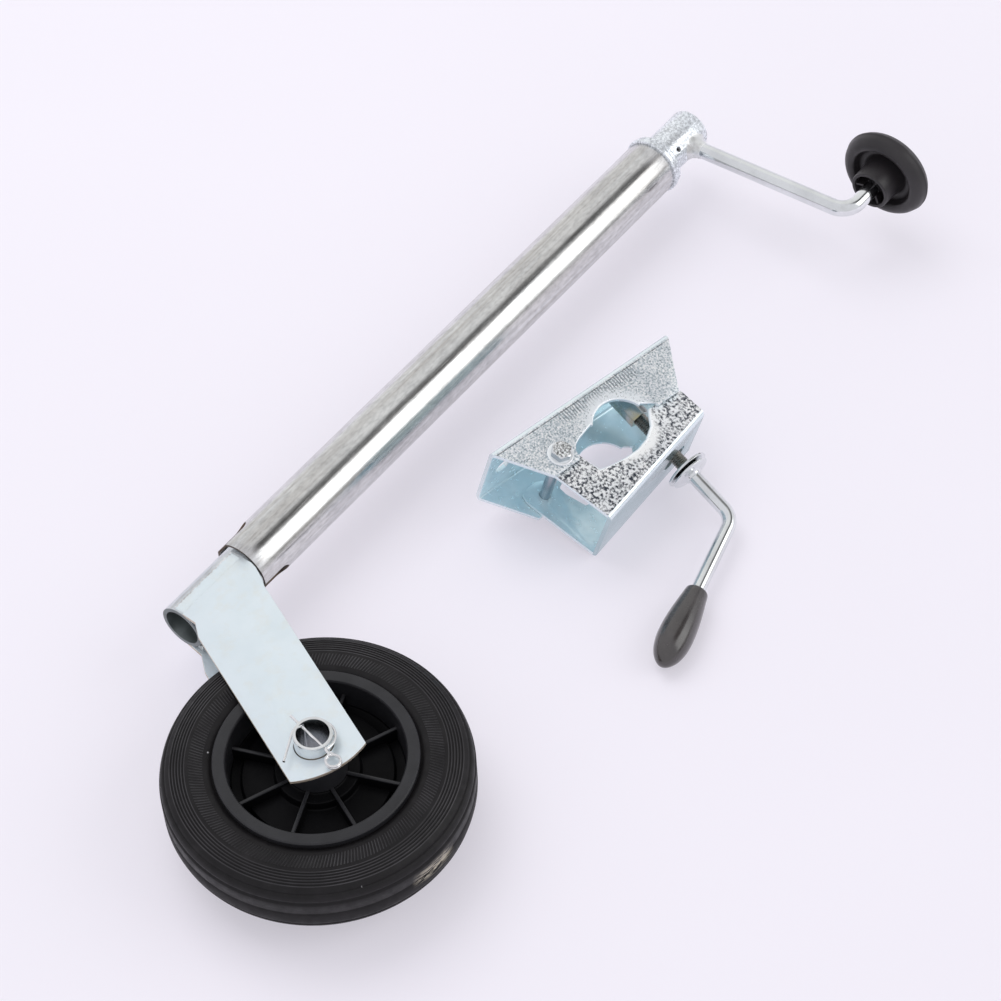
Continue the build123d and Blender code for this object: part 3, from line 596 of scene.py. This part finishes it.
# ============================================================ outer tube
def build_tube():
    R, RI, Y0, Y1 = 21.0, 19.0, -19.0, 442.0
    half, top = 8.5, 6.0
    mids = [radians(-25.0), radians(148.5)]
    edge = asin(half / R)
    th = set()
    for i in range(200):
        th.add(round(2 * pi * i / 200, 6))
    for mth in mids:
        th = {t for t in th if abs((t - mth + pi) % (2 * pi) - pi) > edge + 0.012}
        for k in range(-9, 10):
            th.add(round((mth + asin(half * sin(radians(10 * k)) / R)) % (2 * pi), 6))
    th = sorted(th)

    def state(t):
        for mth in mids:
            d = (t - mth + pi) % (2 * pi) - pi
            if abs(d) <= edge + 1e-4:
                x = min(abs(R * sin(d)), half)
                return True, (top - half) + sqrt(max(half * half - x * x, 0.0))
        return False, top - half
    bm = bmesh.new()
    ys = [12.0, 20.0, 60.0, 120.0, 180.0, 240.0, 300.0, 360.0, 410.0, Y1]
    outer, inner, ins = [], [], []
    for t in th:
        i_, y1 = state(t)
        ins.append(i_)
        outer.append([bm.verts.new(J(R * cos(t), y, R * sin(t))) for y in [Y0, y1] + ys])
        inner.append([bm.verts.new(J(RI * cos(t), y, RI * sin(t))) for y in [Y0, y1] + ys])
    k, rows = len(th), len(ys) + 2
    for i in range(k):
        j = (i + 1) % k
        cut = ins[i] and ins[j]
        for r in range(rows - 1):
            if r == 0 and cut:
                continue
            bm.faces.new([outer[i][r], outer[j][r], outer[j][r + 1], outer[i][r + 1]])
            bm.faces.new([inner[i][r + 1], inner[j][r + 1], inner[j][r], inner[i][r]])
        b = 1 if cut else 0
        bm.faces.new([outer[j][b], outer[i][b], inner[i][b], inner[j][b]])
        bm.faces.new([outer[i][-1], outer[j][-1], inner[j][-1], inner[i][-1]])
    for i in range(k):
        if ins[i] and (not ins[i - 1] or not ins[(i + 1) % k]):
            bm.faces.new([outer[i][0], outer[i][1], inner[i][1], inner[i][0]])
    for v in [v for v in bm.verts if not v.link_faces]:
        bm.verts.remove(v)
    bmesh.ops.recalc_face_normals(bm, faces=bm.faces)
    lim = radians(50)
    edges = [e for e in bm.edges if len(e.link_faces) == 2 and e.calc_face_angle(0.0) > lim]
    bmesh.ops.bevel(bm, geom=edges, offset=0.00030, offset_type="OFFSET", segments=2, profile=0.5,
                    affect="EDGES", clamp_overlap=True)
    bmesh.ops.recalc_face_normals(bm, faces=bm.faces)
    for f in bm.faces:
        c = f.calc_center_median()
        out_ = Vector((c.x - OX, 0, c.z - OZ)).normalized()
        f.material_index = 1 if (c.y - OY) * 1000 < 8.0 and abs(f.normal.dot(out_)) < 0.8 else 0
    finish_mesh("tube_outer", bm, M["tube"], "tube", ("outer_tube",), 40.0, [M["tube"], M["cut"]])


build_tube()

# collar: rolled ring at the tube's top, with a raised inner lip
lathe("collar_ring", rp([
    (18.9, 434.0), (18.95, 441.9), (21.2, 441.9, 0.3), (22.1, 442.2, 0.4), (22.6, 443.0, 0.5), (22.6, 445.3, 0.7), (21.9, 446.0, 0.4),
    (21.3, 446.4, 0.4), (21.7, 447.2, 0.6), (21.5, 449.4, 1.2), (18.6, 452.0, 0.9), (17.3, 452.5, 0.5), (16.6, 451.9, 0.4),
    (8.3, 451.9, 0.2), (8.3, 434.0)], n=5), about_y(0, 0), M["head"], "tube", ("top_collar",), 144)

# ================================================================ crank
detail("crank_head", "head_casting", M["head"], "crank", "bright_zinc", 0.45, 2)
arm_dir = Vector((cos(radians(5.5)), 0, sin(radians(5.5))))


def along(d, y):
    return (arm_dir.x * d, y, arm_dir.z * d)


bm = bmesh.new()
arm_pts = bent([along(15.2, 476.0), along(150.6, 476.0), along(150.6, 531.0)], [13.0], 4.0, 18)
sweep_into(bm, arm_pts, 6.0, 48)
finish_mesh("arm_rod", bm, M["bright"], "crank", ("crank_arm",), 40.0)

# weld round the arm's root: a rough trumpet run out over the head
bm = bmesh.new()
e1, e2 = Vector((0, 1, 0)), arm_dir.cross(Vector((0, 1, 0)))
NA, NT = 72, 12
rings = []
for j in range(NT + 1):
    t = j / NT
    ring = []
    for i in range(NA):
        a = 2 * pi * i / NA
        q = 11.6 + 0.7 * noise.noise(Vector((3.0 * cos(a), 3.0 * sin(a), 1.3)))
        rho = 6.15 + (q - 6.15) * (1 - t) ** 2.3
        s0 = q * sin(a)
        d0 = sqrt(max(15.75 ** 2 - s0 ** 2, 0)) - 0.5
        depth = d0 + (23.4 - d0) * t ** 1.15
        lump_ = 0.42 * noise.noise(Vector((rho * cos(a) * 0.55, rho * sin(a) * 0.55, depth * 0.55))) * (0 if j in (0, NT) else 1)
        rho += lump_ + (0.35 if 0 < j < NT - 1 else 0.0)
        pt = arm_dir * depth + e1 * (476.0 + rho * cos(a)) + e2 * (rho * sin(a))
        ring.append(bm.verts.new(J(pt.x, pt.y, pt.z)))
    rings.append(ring)
for p_, q_ in zip(rings, rings[1:]):
    for i in range(NA):
        bm.faces.new([p_[i], p_[(i + 1) % NA], q_[(i + 1) % NA], q_[i]])
bm.faces.new(rings[0][::-1])
bm.faces.new(rings[-1])
finish_mesh("arm_weld_bead", bm, M["weld"], "crank", ("arm_weld",), 60.0)

# ================================================================= knob
KX, KZ = 150.6 * cos(radians(5.5)), 150.6 * sin(radians(5.5))


def build_knob():
    cap = smooth_line([(0.0, 539.0), (6.0, 538.85), (14.0, 538.0), (22.0, 536.3), (28.0, 533.9), (32.0, 530.9), (33.9, 528.0)], 5)
    # thin moulded step round the rim, then the rolled underside
    cap += [(34.2, 527.2), (34.45, 527.0), (34.5, 525.6), (34.2, 525.3)]
    cap += smooth_line([(34.1, 524.9), (33.0, 521.2), (30.8, 518.4), (28.2, 517.0), (25.8, 516.9), (23.9, 518.4),
                        (22.9, 521.4), (21.8, 524.2), (19.4, 525.7), (16.9, 525.3), (15.9, 523.2)], 5)
    stem = rp([(15.6, 518.0), (15.0, 503.9, 0.8), (14.6, 503.0, 0.5), (12.7, 503.0, 0.4), (12.4, 503.6), (12.2, 512.0, 0.8), (6.1, 512.2, 0.3),
               (6.1, 526.4), (10.5, 526.4), (10.5, 534.0), (0.0, 534.0)], closed=False, n=4)
    prof = [(max(p[0], 0.0), p[1]) for p in cap] + list(stem)
    bm = bmesh.new()
    lathe_into(bm, prof, about_y(KX, KZ), 128, closed=False)
    # three webs in the hollow of the stem
    for k in range(3):
        a = radians(65 + 120 * k)
        e, f = Vector((cos(a), 0, sin(a))), Vector((-sin(a), 0, cos(a)))
        c8 = []
        for r_, y_, t_ in ((6.3, 506.0, -0.8), (12.6, 504.6, -0.8), (12.6, 504.6, 0.8), (6.3, 506.0, 0.8),
                           (6.3, 513.0, -0.8), (12.6, 513.0, -0.8), (12.6, 513.0, 0.8), (6.3, 513.0, 0.8)):
            q = e * r_ + f * t_
            c8.append(bm.verts.new(J(KX + q.x, y_, KZ + q.z)))
        for ids in ((0, 1, 2, 3), (7, 6, 5, 4), (0, 4, 5, 1), (1, 5, 6, 2), (2, 6, 7, 3), (3, 7, 4, 0)):
            bm.faces.new([c8[i] for i in ids])
    finish_mesh("knob_cap", bm, M["knob"], "knob", ("crank_knob",), 50.0)


build_knob()

# ================================================================= fork
def plate_pick(f):
    return 1 if abs(f.normal.z) < 0.7 else 0


detail("fork_plate_upper", "fork_top_plate", M["fork"], "fork", "fork_zinc", 0.45, 3, pick=plate_pick, mats=[M["fork"], M["edge"]])
detail("fork_plate_lower", "fork_bottom_plate", M["fork"], "fork", "fork_zinc", 0.45, 3, pick=plate_pick, mats=[M["fork"], M["edge"]])


# faces inside the bore take the painted-shade copy of the zinc
def tube_pick(f):
    c = f.calc_center_median()
    return 1 if sqrt(((c.x - OX) * 1000) ** 2 + ((c.z - OZ) * 1000) ** 2) < 14.2 else 0


detail("inner_tube", "tube_inner", M["inner"], "fork", "fork_zinc", 0.35, 2, pick=tube_pick, mats=[M["inner"], M["hollow"]])
detail("axle_tube", "axle_sleeve", M["bright"], "fork", "bright_zinc", 0.25, 2)


def build_fork_weld():
    """Plate edges dressed down onto the tube, with a ragged seam."""
    bm = bmesh.new()
    for s in (1, -1):
        ny, na = 90, 14
        grid = []
        for i in range(ny + 1):
            y = -20.6 - 57.6 * i / ny
            end = 113.0 + 3.2 * noise.noise(Vector((y * 0.55, 1.7 * s, 0.2))) + 1.6 * noise.noise(Vector((y * 1.9, 0.3, s)))
            if i == 0 or i == ny:
                end -= 4.0
            row = []
            for j in range(na + 1):
                t = j / na
                a = radians(79.5 + (end - 79.5) * t)
                lift = 0.55 * (1 - t) + 0.05
                lift += 0.75 * max(0.0, 1 - ((t - 0.86) / 0.14) ** 2) * (0.75 + 0.5 * sin(y * 2 * pi / 3.1))
                lift += 0.18 * noise.noise(Vector((y * 0.9, a * 9, s)))
                if i == 0 or i == ny or j == na:
                    lift = -0.35
                row.append(bm.verts.new(J((16.5 + lift) * cos(a), y, s * (16.5 + lift) * sin(a))))
            grid.append(row)
        for i in range(ny):
            for j in range(na):
                fc = bm.faces.new([grid[i][j], grid[i + 1][j], grid[i + 1][j + 1], grid[i][j + 1]])
                fc.material_index = 1 if j > na - 4 else 0
        # underside, just inside the tube's surface
        low = []
        for i in (0, ny):
            low.append([bm.verts.new(J(16.1 * cos(radians(79.5)), -20.6 - 57.6 * i / ny, s * 16.1 * sin(radians(79.5)))),
                        bm.verts.new(J(16.1 * cos(radians(109.0)), -20.6 - 57.6 * i / ny, s * 16.1 * sin(radians(109.0))))])
        bm.faces.new([low[0][0], low[0][1], low[1][1], low[1][0]])
        bm.faces.new([grid[i][0] for i in range(ny + 1)] + [low[1][0], low[0][0]])
        bm.faces.new([grid[i][na] for i in range(ny + 1)] + [low[1][1], low[0][1]])
        bm.faces.new(grid[0] + [low[0][1], low[0][0]])
        bm.faces.new(grid[ny] + [low[1][1], low[1][0]])
        # bead in the corner under the plate
        pts = [(12.4, -24.0 - 0.9 * k, s * 14.6) for k in range(60)]
        bm.faces.ensure_lookup_table()
        n_before = len(bm.faces)
        sweep_into(bm, pts, lambda q, a, s=s: 2.2 + 0.3 * sin(q * 2 * pi / 2.8) + 0.4 * noise.noise(Vector((q * 0.5, cos(a), s))), 14)
        bm.faces.ensure_lookup_table()
        for fc in bm.faces[n_before:]:
            fc.material_index = 1
    finish_mesh("fork_weld_beads", bm, M["weld"], "fork", ("fork_welds",), 60.0, [M["fork"], M["weld"]])


build_fork_weld()


# spring clip
def build_clip():
    o = Vector((148.0, -115.4, 45.6))
    ca, sa = cos(radians(-10.2)), sin(radians(-10.2))
    pts = [(-22.0, 0, 0), (-10, 0, 0), (0, 0, 0), (10, 0, 0), (15.5, 0.3, 0), (19.5, 1.3, 0.1)]
    for i in range(1, 43):
        a = radians(98 - 15.5 * i)
        pts.append((23.0 + 4.6 * cos(a), -2.9 + 4.6 * sin(a), 0.1 + 3.0 * i / 42))
    R = 14.0
    for i in range(0, 29):
        a = radians(-6 + 223 * i / 28)
        pts.append((R * cos(a), R * sin(a), 3.1 - 4.2 * min(1.0, i / 14)))
    e = Vector(pts[-1])
    d = Vector((-sin(radians(217)), cos(radians(217)), 0)).normalized()
    for q in (4, 8, 12, 16, 20.0):
        pts.append(tuple(e + d * q))
    out = []
    for x, y, z in pts:
        out.append((o.x + ca * x - sa * y, o.y + sa * x + ca * y, o.z + z))
    bm = bmesh.new()
    sweep_into(bm, smooth_line(out, 3), 0.9, 14)
    finish_mesh("spring_clip", bm, M["wire"], "fork", ("axle_clip",), 50.0)


build_clip()

# ================================================================ wheel
WX, WY = 148.0, -115.4


def groove(r, z, dz, w, d):
    """Small round groove in a sidewall that runs from r outwards at height z."""
    return [(r - w / 2, z), (r - w / 4, z - d * 0.75), (r, z - d), (r + w / 4, z - d * 0.75 - dz / 2), (r + w / 2, z - dz)]


def build_tyre():
    half = [(61.5, 20.6), (66.0, 20.7), (66.9, 21.3), (67.8, 21.9), (69.5, 22.3), (71.0, 22.45)]
    half += [(71.4, 22.55), (80.4, 22.6), (80.9, 22.35), (82.6, 22.25)]
    for r in (84.0, 85.9, 87.8, 89.7, 91.5):
        z = 22.25 - 0.019 * (r - 82.0) ** 1.9
        half += groove(r, z, 0.10, 1.1, 0.50)
    half += [(92.8, 20.2), (94.6, 19.3), (95.6, 18.5), (96.0, 17.3), (96.5, 17.2), (97.2, 17.0), (98.2, 15.6), (98.9, 13.9),
             (99.2, 12.6), (98.7, 11.7), (99.0, 10.8), (99.8, 10.3), (100.0, 9.2), (100.0, 1.2), (99.4, 0.6)]
    prof = [(r, -z) for r, z in half] + [(r, z) for r, z in reversed(half)]
    lathe("tyre_solid", prof, about_z(WX, WY), M["tyre"], "wheel", ("tyre",), 256, True, 50.0)


build_tyre()


def build_rim():
    half = rp([(15.0, 30.0, 0.4), (19.0, 30.0, 0.6), (19.6, 12.0, 1.2), (27.0, 12.0, 1.0), (27.8, 6.0, 1.2), (48.3, 6.0, 0.8),
               (49.0, 3.0, 0.8), (55.7, 3.0, 1.2), (56.9, 24.4, 0.4), (57.8, 25.6, 0.5), (64.6, 25.6, 0.5), (65.4, 24.6, 0.4),
               (65.4, 20.6, 0.2), (61.5, 20.6, 0.0)], closed=False, n=3)
    prof = [(r, z) for r, z in half] + [(r, -z) for r, z in reversed(half)]
    bm = bmesh.new()
    lathe_into(bm, prof, about_z(WX, WY), 192, True)
    for k in range(8):
        a = radians(22.5 + 45 * k)
        e, f = Vector((cos(a), sin(a), 0)), Vector((-sin(a), cos(a), 0))
        for s in (1, -1):
            # drafted rib with a rounded top
            sect = [(-1.9, 2.0), (-1.3, 13.2), (-1.0, 13.8), (-0.5, 14.0), (0.5, 14.0), (1.0, 13.8), (1.3, 13.2), (1.9, 2.0)]
            rings = []
            for r in (18.0, 24.0, 34.0, 44.0, 52.0, 58.2):
                drop = 0.0 if r < 50 else 0.0
                rings.append([bm.verts.new(J(WX + e.x * r + f.x * q, WY + e.y * r + f.y * q, s * (h - drop))) for q, h in sect])
            for p, q in zip(rings, rings[1:]):
                for j in range(len(sect)):
                    jj = (j + 1) % len(sect)
                    bm.faces.new([p[j], p[jj], q[jj], q[j]])
            bm.faces.new(rings[0])
            bm.faces.new(rings[-1])
    # faces deep in the pockets take the painted-shade copy of the rim plastic
    for f in bm.faces:
        c = f.calc_center_median()
        x, y, z = (c.x - OX) * 1000 - WX, (c.y - OY) * 1000 - WY, (c.z - OZ) * 1000
        r = sqrt(x * x + y * y)
        f.material_index = 0 if (r > 56.4 or abs(z) > 13.3) else 1
    finish_mesh("wheel_centre", bm, M["rim"], "wheel", ("wheel_rim",), 38.0, [M["rim"], M["pocket"]])


build_rim()


# ================================================================ clamp
def rel_c(p):
    """Row point as the clamp's own (w, a, h) in millimetres."""
    v = Vector(((p.x - OX) * 1000, (p.y - OY) * 1000, (p.z - OZ) * 1000)) - CL_O
    return v.dot(CW), v.dot(CA), v.dot(CH)


JW0, JA0, JW1, JA1 = 85.5, 35.0, 62.5, 143.5
_u = Vector((JW1 - JW0, JA1 - JA0)).normalized()
_n = Vector((_u.y, -_u.x))


def web_depth(w, a):
    """Distance inwards from the outer face of the jaw's web."""
    return -((w - JW0) * _n.x + (a - JA0) * _n.y)


# material 2 is the painted-highlight copy of the zinc on bends and edges, 3 the darker copy on the flat outer web
def bracket_pick(f):
    w, a, h = rel_c(f.calc_center_median())
    nh, nw = f.normal.dot(CH), f.normal.dot(CW)
    if (nh > 0.985 and h > 57) or (nh < -0.985 and h < 5):
        return 1
    if (nh > 0.12 and h > 56) or (nh < -0.12 and h < 6):
        return 4 if 4.6 < w < 41 and 43 < a < 122 else 2
    if w < 1.2 and abs(nh) < 0.12:
        return 3
    if w < 1.2 or (nw > 0.8 and w > 38.5) or abs(f.normal.dot(CA)) > 0.55:
        return 2
    return 0


# material 2 is the painted-highlight copy of the zinc on bends and edges, 3 the darker copy on the flat outer web
def jaw_pick(f):
    w, a, h = rel_c(f.calc_center_median())
    nh = f.normal.dot(CH)
    if (nh > 0.985 and h > 55) or (nh < -0.985 and h < 7):
        return 1
    if (nh > 0.12 and h > 54) or (nh < -0.12 and h < 8):
        return 4 if 36 < w < 58 and 48 < a < 114 and web_depth(w, a) > 5 else 2
    d = web_depth(w, a)
    if d < 1.6 and abs(nh) < 0.12:
        return 3
    if d < 1.6 or (abs(nh) < 0.4 and d > 4.0):
        return 2
    return 0


def bracket_lip(e):
    for v in e.verts:
        w, a, h = rel_c(v.co)
        if not (4.3 < w < 39.65 and 44.0 < a < 121.0 and (abs(h - 62.0) < 0.08 or abs(h) < 0.08)):
            return False
    return True


def jaw_lip(e):
    for v in e.verts:
        w, a, h = rel_c(v.co)
        if not (36.6 < w < 57.0 and 49.2 < a < 113.0 and (abs(h - 58.6) < 0.08 or abs(h - 3.4) < 0.08)):
            return False
    return True


detail("clamp_bracket", "bracket_channel", M["blue"], "clamp", "blue_zinc", 0.5, 3, pick=bracket_pick,
       mats=[M["blue"], M["speck"], M["pale"], M["side"], M["lip"]], lip=bracket_lip)
detail("clamp_jaw", "jaw_channel", M["blue"], "jaw", "blue_zinc", 0.5, 3, pick=jaw_pick,
       mats=[M["blue"], M["speck2"], M["pale"], M["side"], M["lip"]], lip=jaw_lip, lip_w=2.2)
detail("clamp_nut", "weld_nut", M["yellow"], "clamp", "yellow_zinc", 0.5, 2)


def hex_head(bm, o, d, af, depth, turn, crown=0.95):
    """Hexagon with its corners chamfered on the far end, standing on o along d."""
    d = Vector(d).normalized()
    e = (CW - d * CW.dot(d)).normalized()
    g = d.cross(e)
    n = 72

    def at(r, a, t):
        q = Vector(o) + d * t + e * (r * cos(a)) + g * (r * sin(a))
        return bm.verts.new(J(q.x, q.y, q.z))
    low, mid, top = [], [], []
    for i in range(n):
        a = 2 * pi * i / n
        b = (a - turn) % (pi / 3) - pi / 6
        r = af / 2 / cos(b)
        low.append(at(r, a, 0.0))
        mid.append(at(r, a, depth - max(0.0, (r - af / 2 * crown)) * tan(radians(30)) - 0.12))
        top.append(at(af / 2 * crown, a, depth))
    for i in range(n):
        j = (i + 1) % n
        bm.faces.new([low[i], low[j], mid[j], mid[i]])
        bm.faces.new([mid[i], mid[j], top[j], top[i]])
    fl = bm.faces.new(low[::-1])
    ft = bm.faces.new(top)
    return ft


HB = C3(29.2, 37.5, 0.0)
bm = bmesh.new()
cap_face = hex_head(bm, HB + CH * 63.6, CH, 13.0, 5.3, radians(12))
cap_face.material_index = 1
bm.normal_update()
sweep_into(bm, [HB + CH * t for t in (63.6, 50.0, 30.0, 10.0, 0.0, -4.0)], 4.0, 40)
thr = [HB + CH * (-1.6 - 0.25 * i) for i in range(39)]
sweep_into(bm, thr, lambda q, a: 3.45 + 0.52 * (1 - abs(2 * ((q / 1.25 + a / (2 * pi)) % 1.0) - 1)), 32)
# painted shade: the shank and the hex flanks take the darker copy of the zinc
for f in bm.faces:
    hgt = rel_c(f.calc_center_median())[2]
    if hgt < 63.5 or abs(f.normal.dot(CH)) < 0.3:
        f.material_index = 2
finish_mesh("pivot_bolt", bm, M["bright"], "clamp", ("hinge_bolt",), 24.0, [M["bright"], M["bolt_top"], M["shank"]])
bm = bmesh.new()
for h0 in (62.0, -1.6):
    lathe_into(bm, rp([(4.1, 0.0), (9.0, 0.0, 0.25), (9.2, 0.5, 0.3), (8.9, 1.55, 0.5), (4.1, 1.6)], n=3), about_line(HB + CH * h0, CH), 72, True)
finish_mesh("pivot_washers", bm, M["lip"], "clamp", ("hinge_washers",), 40.0)
bm = bmesh.new()
hex_head(bm, HB + CH * -1.6, -CH, 13.0, 6.9, radians(12))
finish_mesh("pivot_nut", bm, M["bright"], "clamp", ("hinge_nut",), 24.0)
detail("screw_washer", "thrust_washer", M["bright"], "feed", "bright_zinc", 0.35, 3)

SA, SH = 118.6, 31.0
corner = C3(126.5, SA, SH)
leg = (CW * 54.2 + CA * -118.7 + CH * 4.55).normalized()


def build_screw():
    bm = bmesh.new()
    pts = bent([C3(12.0, SA, SH), corner, corner + leg * 100.0], [15.0], 3.0, 18)
    straight = [C3(12.0 + 0.25 * i, SA, SH) for i in range(0, 272)]
    rest = [p for p in pts if (p - C3(12.0, SA, SH)).length > 68.6]

    def rad(s, a):
        if s > 67.0:
            return 5.0
        ph = (s / 1.5 + a / (2 * pi)) % 1.0
        tooth = 1 - abs(2 * ph - 1)
        r = 4.28 + 0.72 * min(1.0, tooth * 1.25)
        if s < 2.0:
            r = min(r, 4.0 + s * 0.5)
        return r
    sweep_into(bm, straight + rest, rad, 40)
    for f in bm.faces:
        w, a, h = rel_c(f.calc_center_median())
        f.material_index = 1 if w < 78.6 and abs(a - SA) < 7 else 0
    finish_mesh("handle_rod", bm, M["bright"], "handle", ("clamp_screw",), 60.0, [M["bright"], M["thread"]])
    # collar pressed on the rod, with a rolled rim
    place = about_line(C3(80.8, SA, SH), CW)
    lathe("handle_collar", rp([(4.9, 0.0), (8.2, 0.0, 0.4), (10.6, 0.9, 0.8), (13.8, 1.5, 0.3), (14.5, 2.0, 0.4), (14.4, 3.0, 0.5),
                               (12.8, 3.9, 0.8), (9.4, 4.4, 1.2), (7.0, 5.4, 0.8), (6.2, 6.8, 0.5), (4.9, 7.2)], closed=True, n=4),
          place, M["bright"], "handle", (), 96)


build_screw()
g0 = corner + leg * 66.0
lathe("grip_body", [(5.0, 6.0), (5.0, 0.6)] + rp([(5.4, 0.0), (6.9, 0.0, 0.6), (7.9, 1.1, 0.6), (8.2, 2.6)], closed=False, n=3)
      + [tuple(p) for p in smooth_line([(8.35, 3.4), (8.9, 7.0), (9.7, 12.0), (10.6, 18.0), (11.35, 24.0), (11.9, 30.0), (12.2, 36.0),
                                        (12.2, 41.0), (11.7, 47.0), (10.4, 53.0), (8.3, 58.0), (5.5, 61.9), (2.7, 64.1), (0.0, 64.7)], 4)],
      about_line(g0, leg), M["grip"], "handle", ("handle_grip",), 96, False, 50.0)

# --------------------------------------------- CAD nodes kept as they are
KEEP = {
    "guide_bush": "nylon", "hub_bush": "nylon", "upper_race": "bearing", "lower_race": "bearing", "thrust_balls": "bearing",
    "spindle": "steel", "spindle_end_stop": "steel", "spindle_nut": "steel", "crank_pin": "steel", "knob_push_nut": "steel",
    "nut_grub_screws": "steel", "axle_washers": "bright"}
for node, key in KEEP.items():
    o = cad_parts[node]
    o.data.materials.clear()
    o.data.materials.append(M[key])

# ================================================================= stage
floor_mat, nt, bs = base("studio_floor")
nt.links.new(ramp(nt, [(0.3, (0.444, 0.428, 0.466)), (0.7, (0.458, 0.441, 0.480))], tex(nt, coords(nt), 2.2, 2.0, 0.5)), bs.inputs["Base Color"])
bs.inputs["Roughness"].default_value = 0.6
bs.inputs["Specular IOR Level"].default_value = 0.2
bs.inputs["Emission Color"].default_value = (0.950, 0.918, 1.0, 1.0)
bs.inputs["Emission Strength"].default_value = 0.433
bpy.ops.mesh.primitive_plane_add(size=14.0, location=(0, 0, 0))
ground = bpy.context.object
ground.name = "studio_floor"
ground.data.materials.append(floor_mat)

world = bpy.data.worlds.new("studio")
bpy.context.scene.world = world
world.use_nodes = True
wn = world.node_tree
wb = wn.nodes["Background"]
# a studio of panels: a strong one low on the right, a dark gap overhead, a
# broad pale one over the left
wt = wn.nodes.new("ShaderNodeTexCoord")
ws = wn.nodes.new("ShaderNodeSeparateXYZ")
wn.links.new(wt.outputs["Generated"], ws.inputs[0])
phi = math_(wn, "DIVIDE", math_(wn, "ARCTAN2", ws.outputs[2], ws.outputs[0]), pi)
panels = ramp(wn, [(0.0, 0.20), (0.075, 0.22), (0.105, 0.92), (0.33, 1.0), (0.365, 0.05), (0.465, 0.05), (0.52, 0.36), (1.0, 0.40)], phi)
lo_ = ramp(wn, [(0.10, 0.0), (0.30, 1.0)], ws.outputs[1])
hi_ = ramp(wn, [(0.68, 1.0), (0.86, 0.0)], ws.outputs[1])
mask = math_(wn, "MULTIPLY", lo_, hi_)
rad_ = mixc(wn, mask, (0.335, 0.335, 0.35), panels)
wn.links.new(rad_, wb.inputs[0])
wb.inputs[1].default_value = 2.3


def area(name, loc, target, sx, sy, power, col=(1, 1, 1), glossy=False):
    d = bpy.data.lights.new(name, "AREA")
    d.shape = "RECTANGLE"
    d.size, d.size_y = sx, sy
    d.energy = power
    d.color = col
    o = bpy.data.objects.new(name, d)
    bpy.context.scene.collection.objects.link(o)
    o.location = loc
    o.rotation_mode = "QUATERNION"
    o.rotation_quaternion = (Vector(target) - Vector(loc)).to_track_quat("-Z", "Y")
    o.visible_glossy = glossy
    return o


area("soft_left", (-1.7, 0.3, 3.0), (0, 0, 0), 2.4, 2.4, 40.0)

try:
    bpy.context.scene.view_settings.view_transform = "Standard"
except TypeError:
    pass
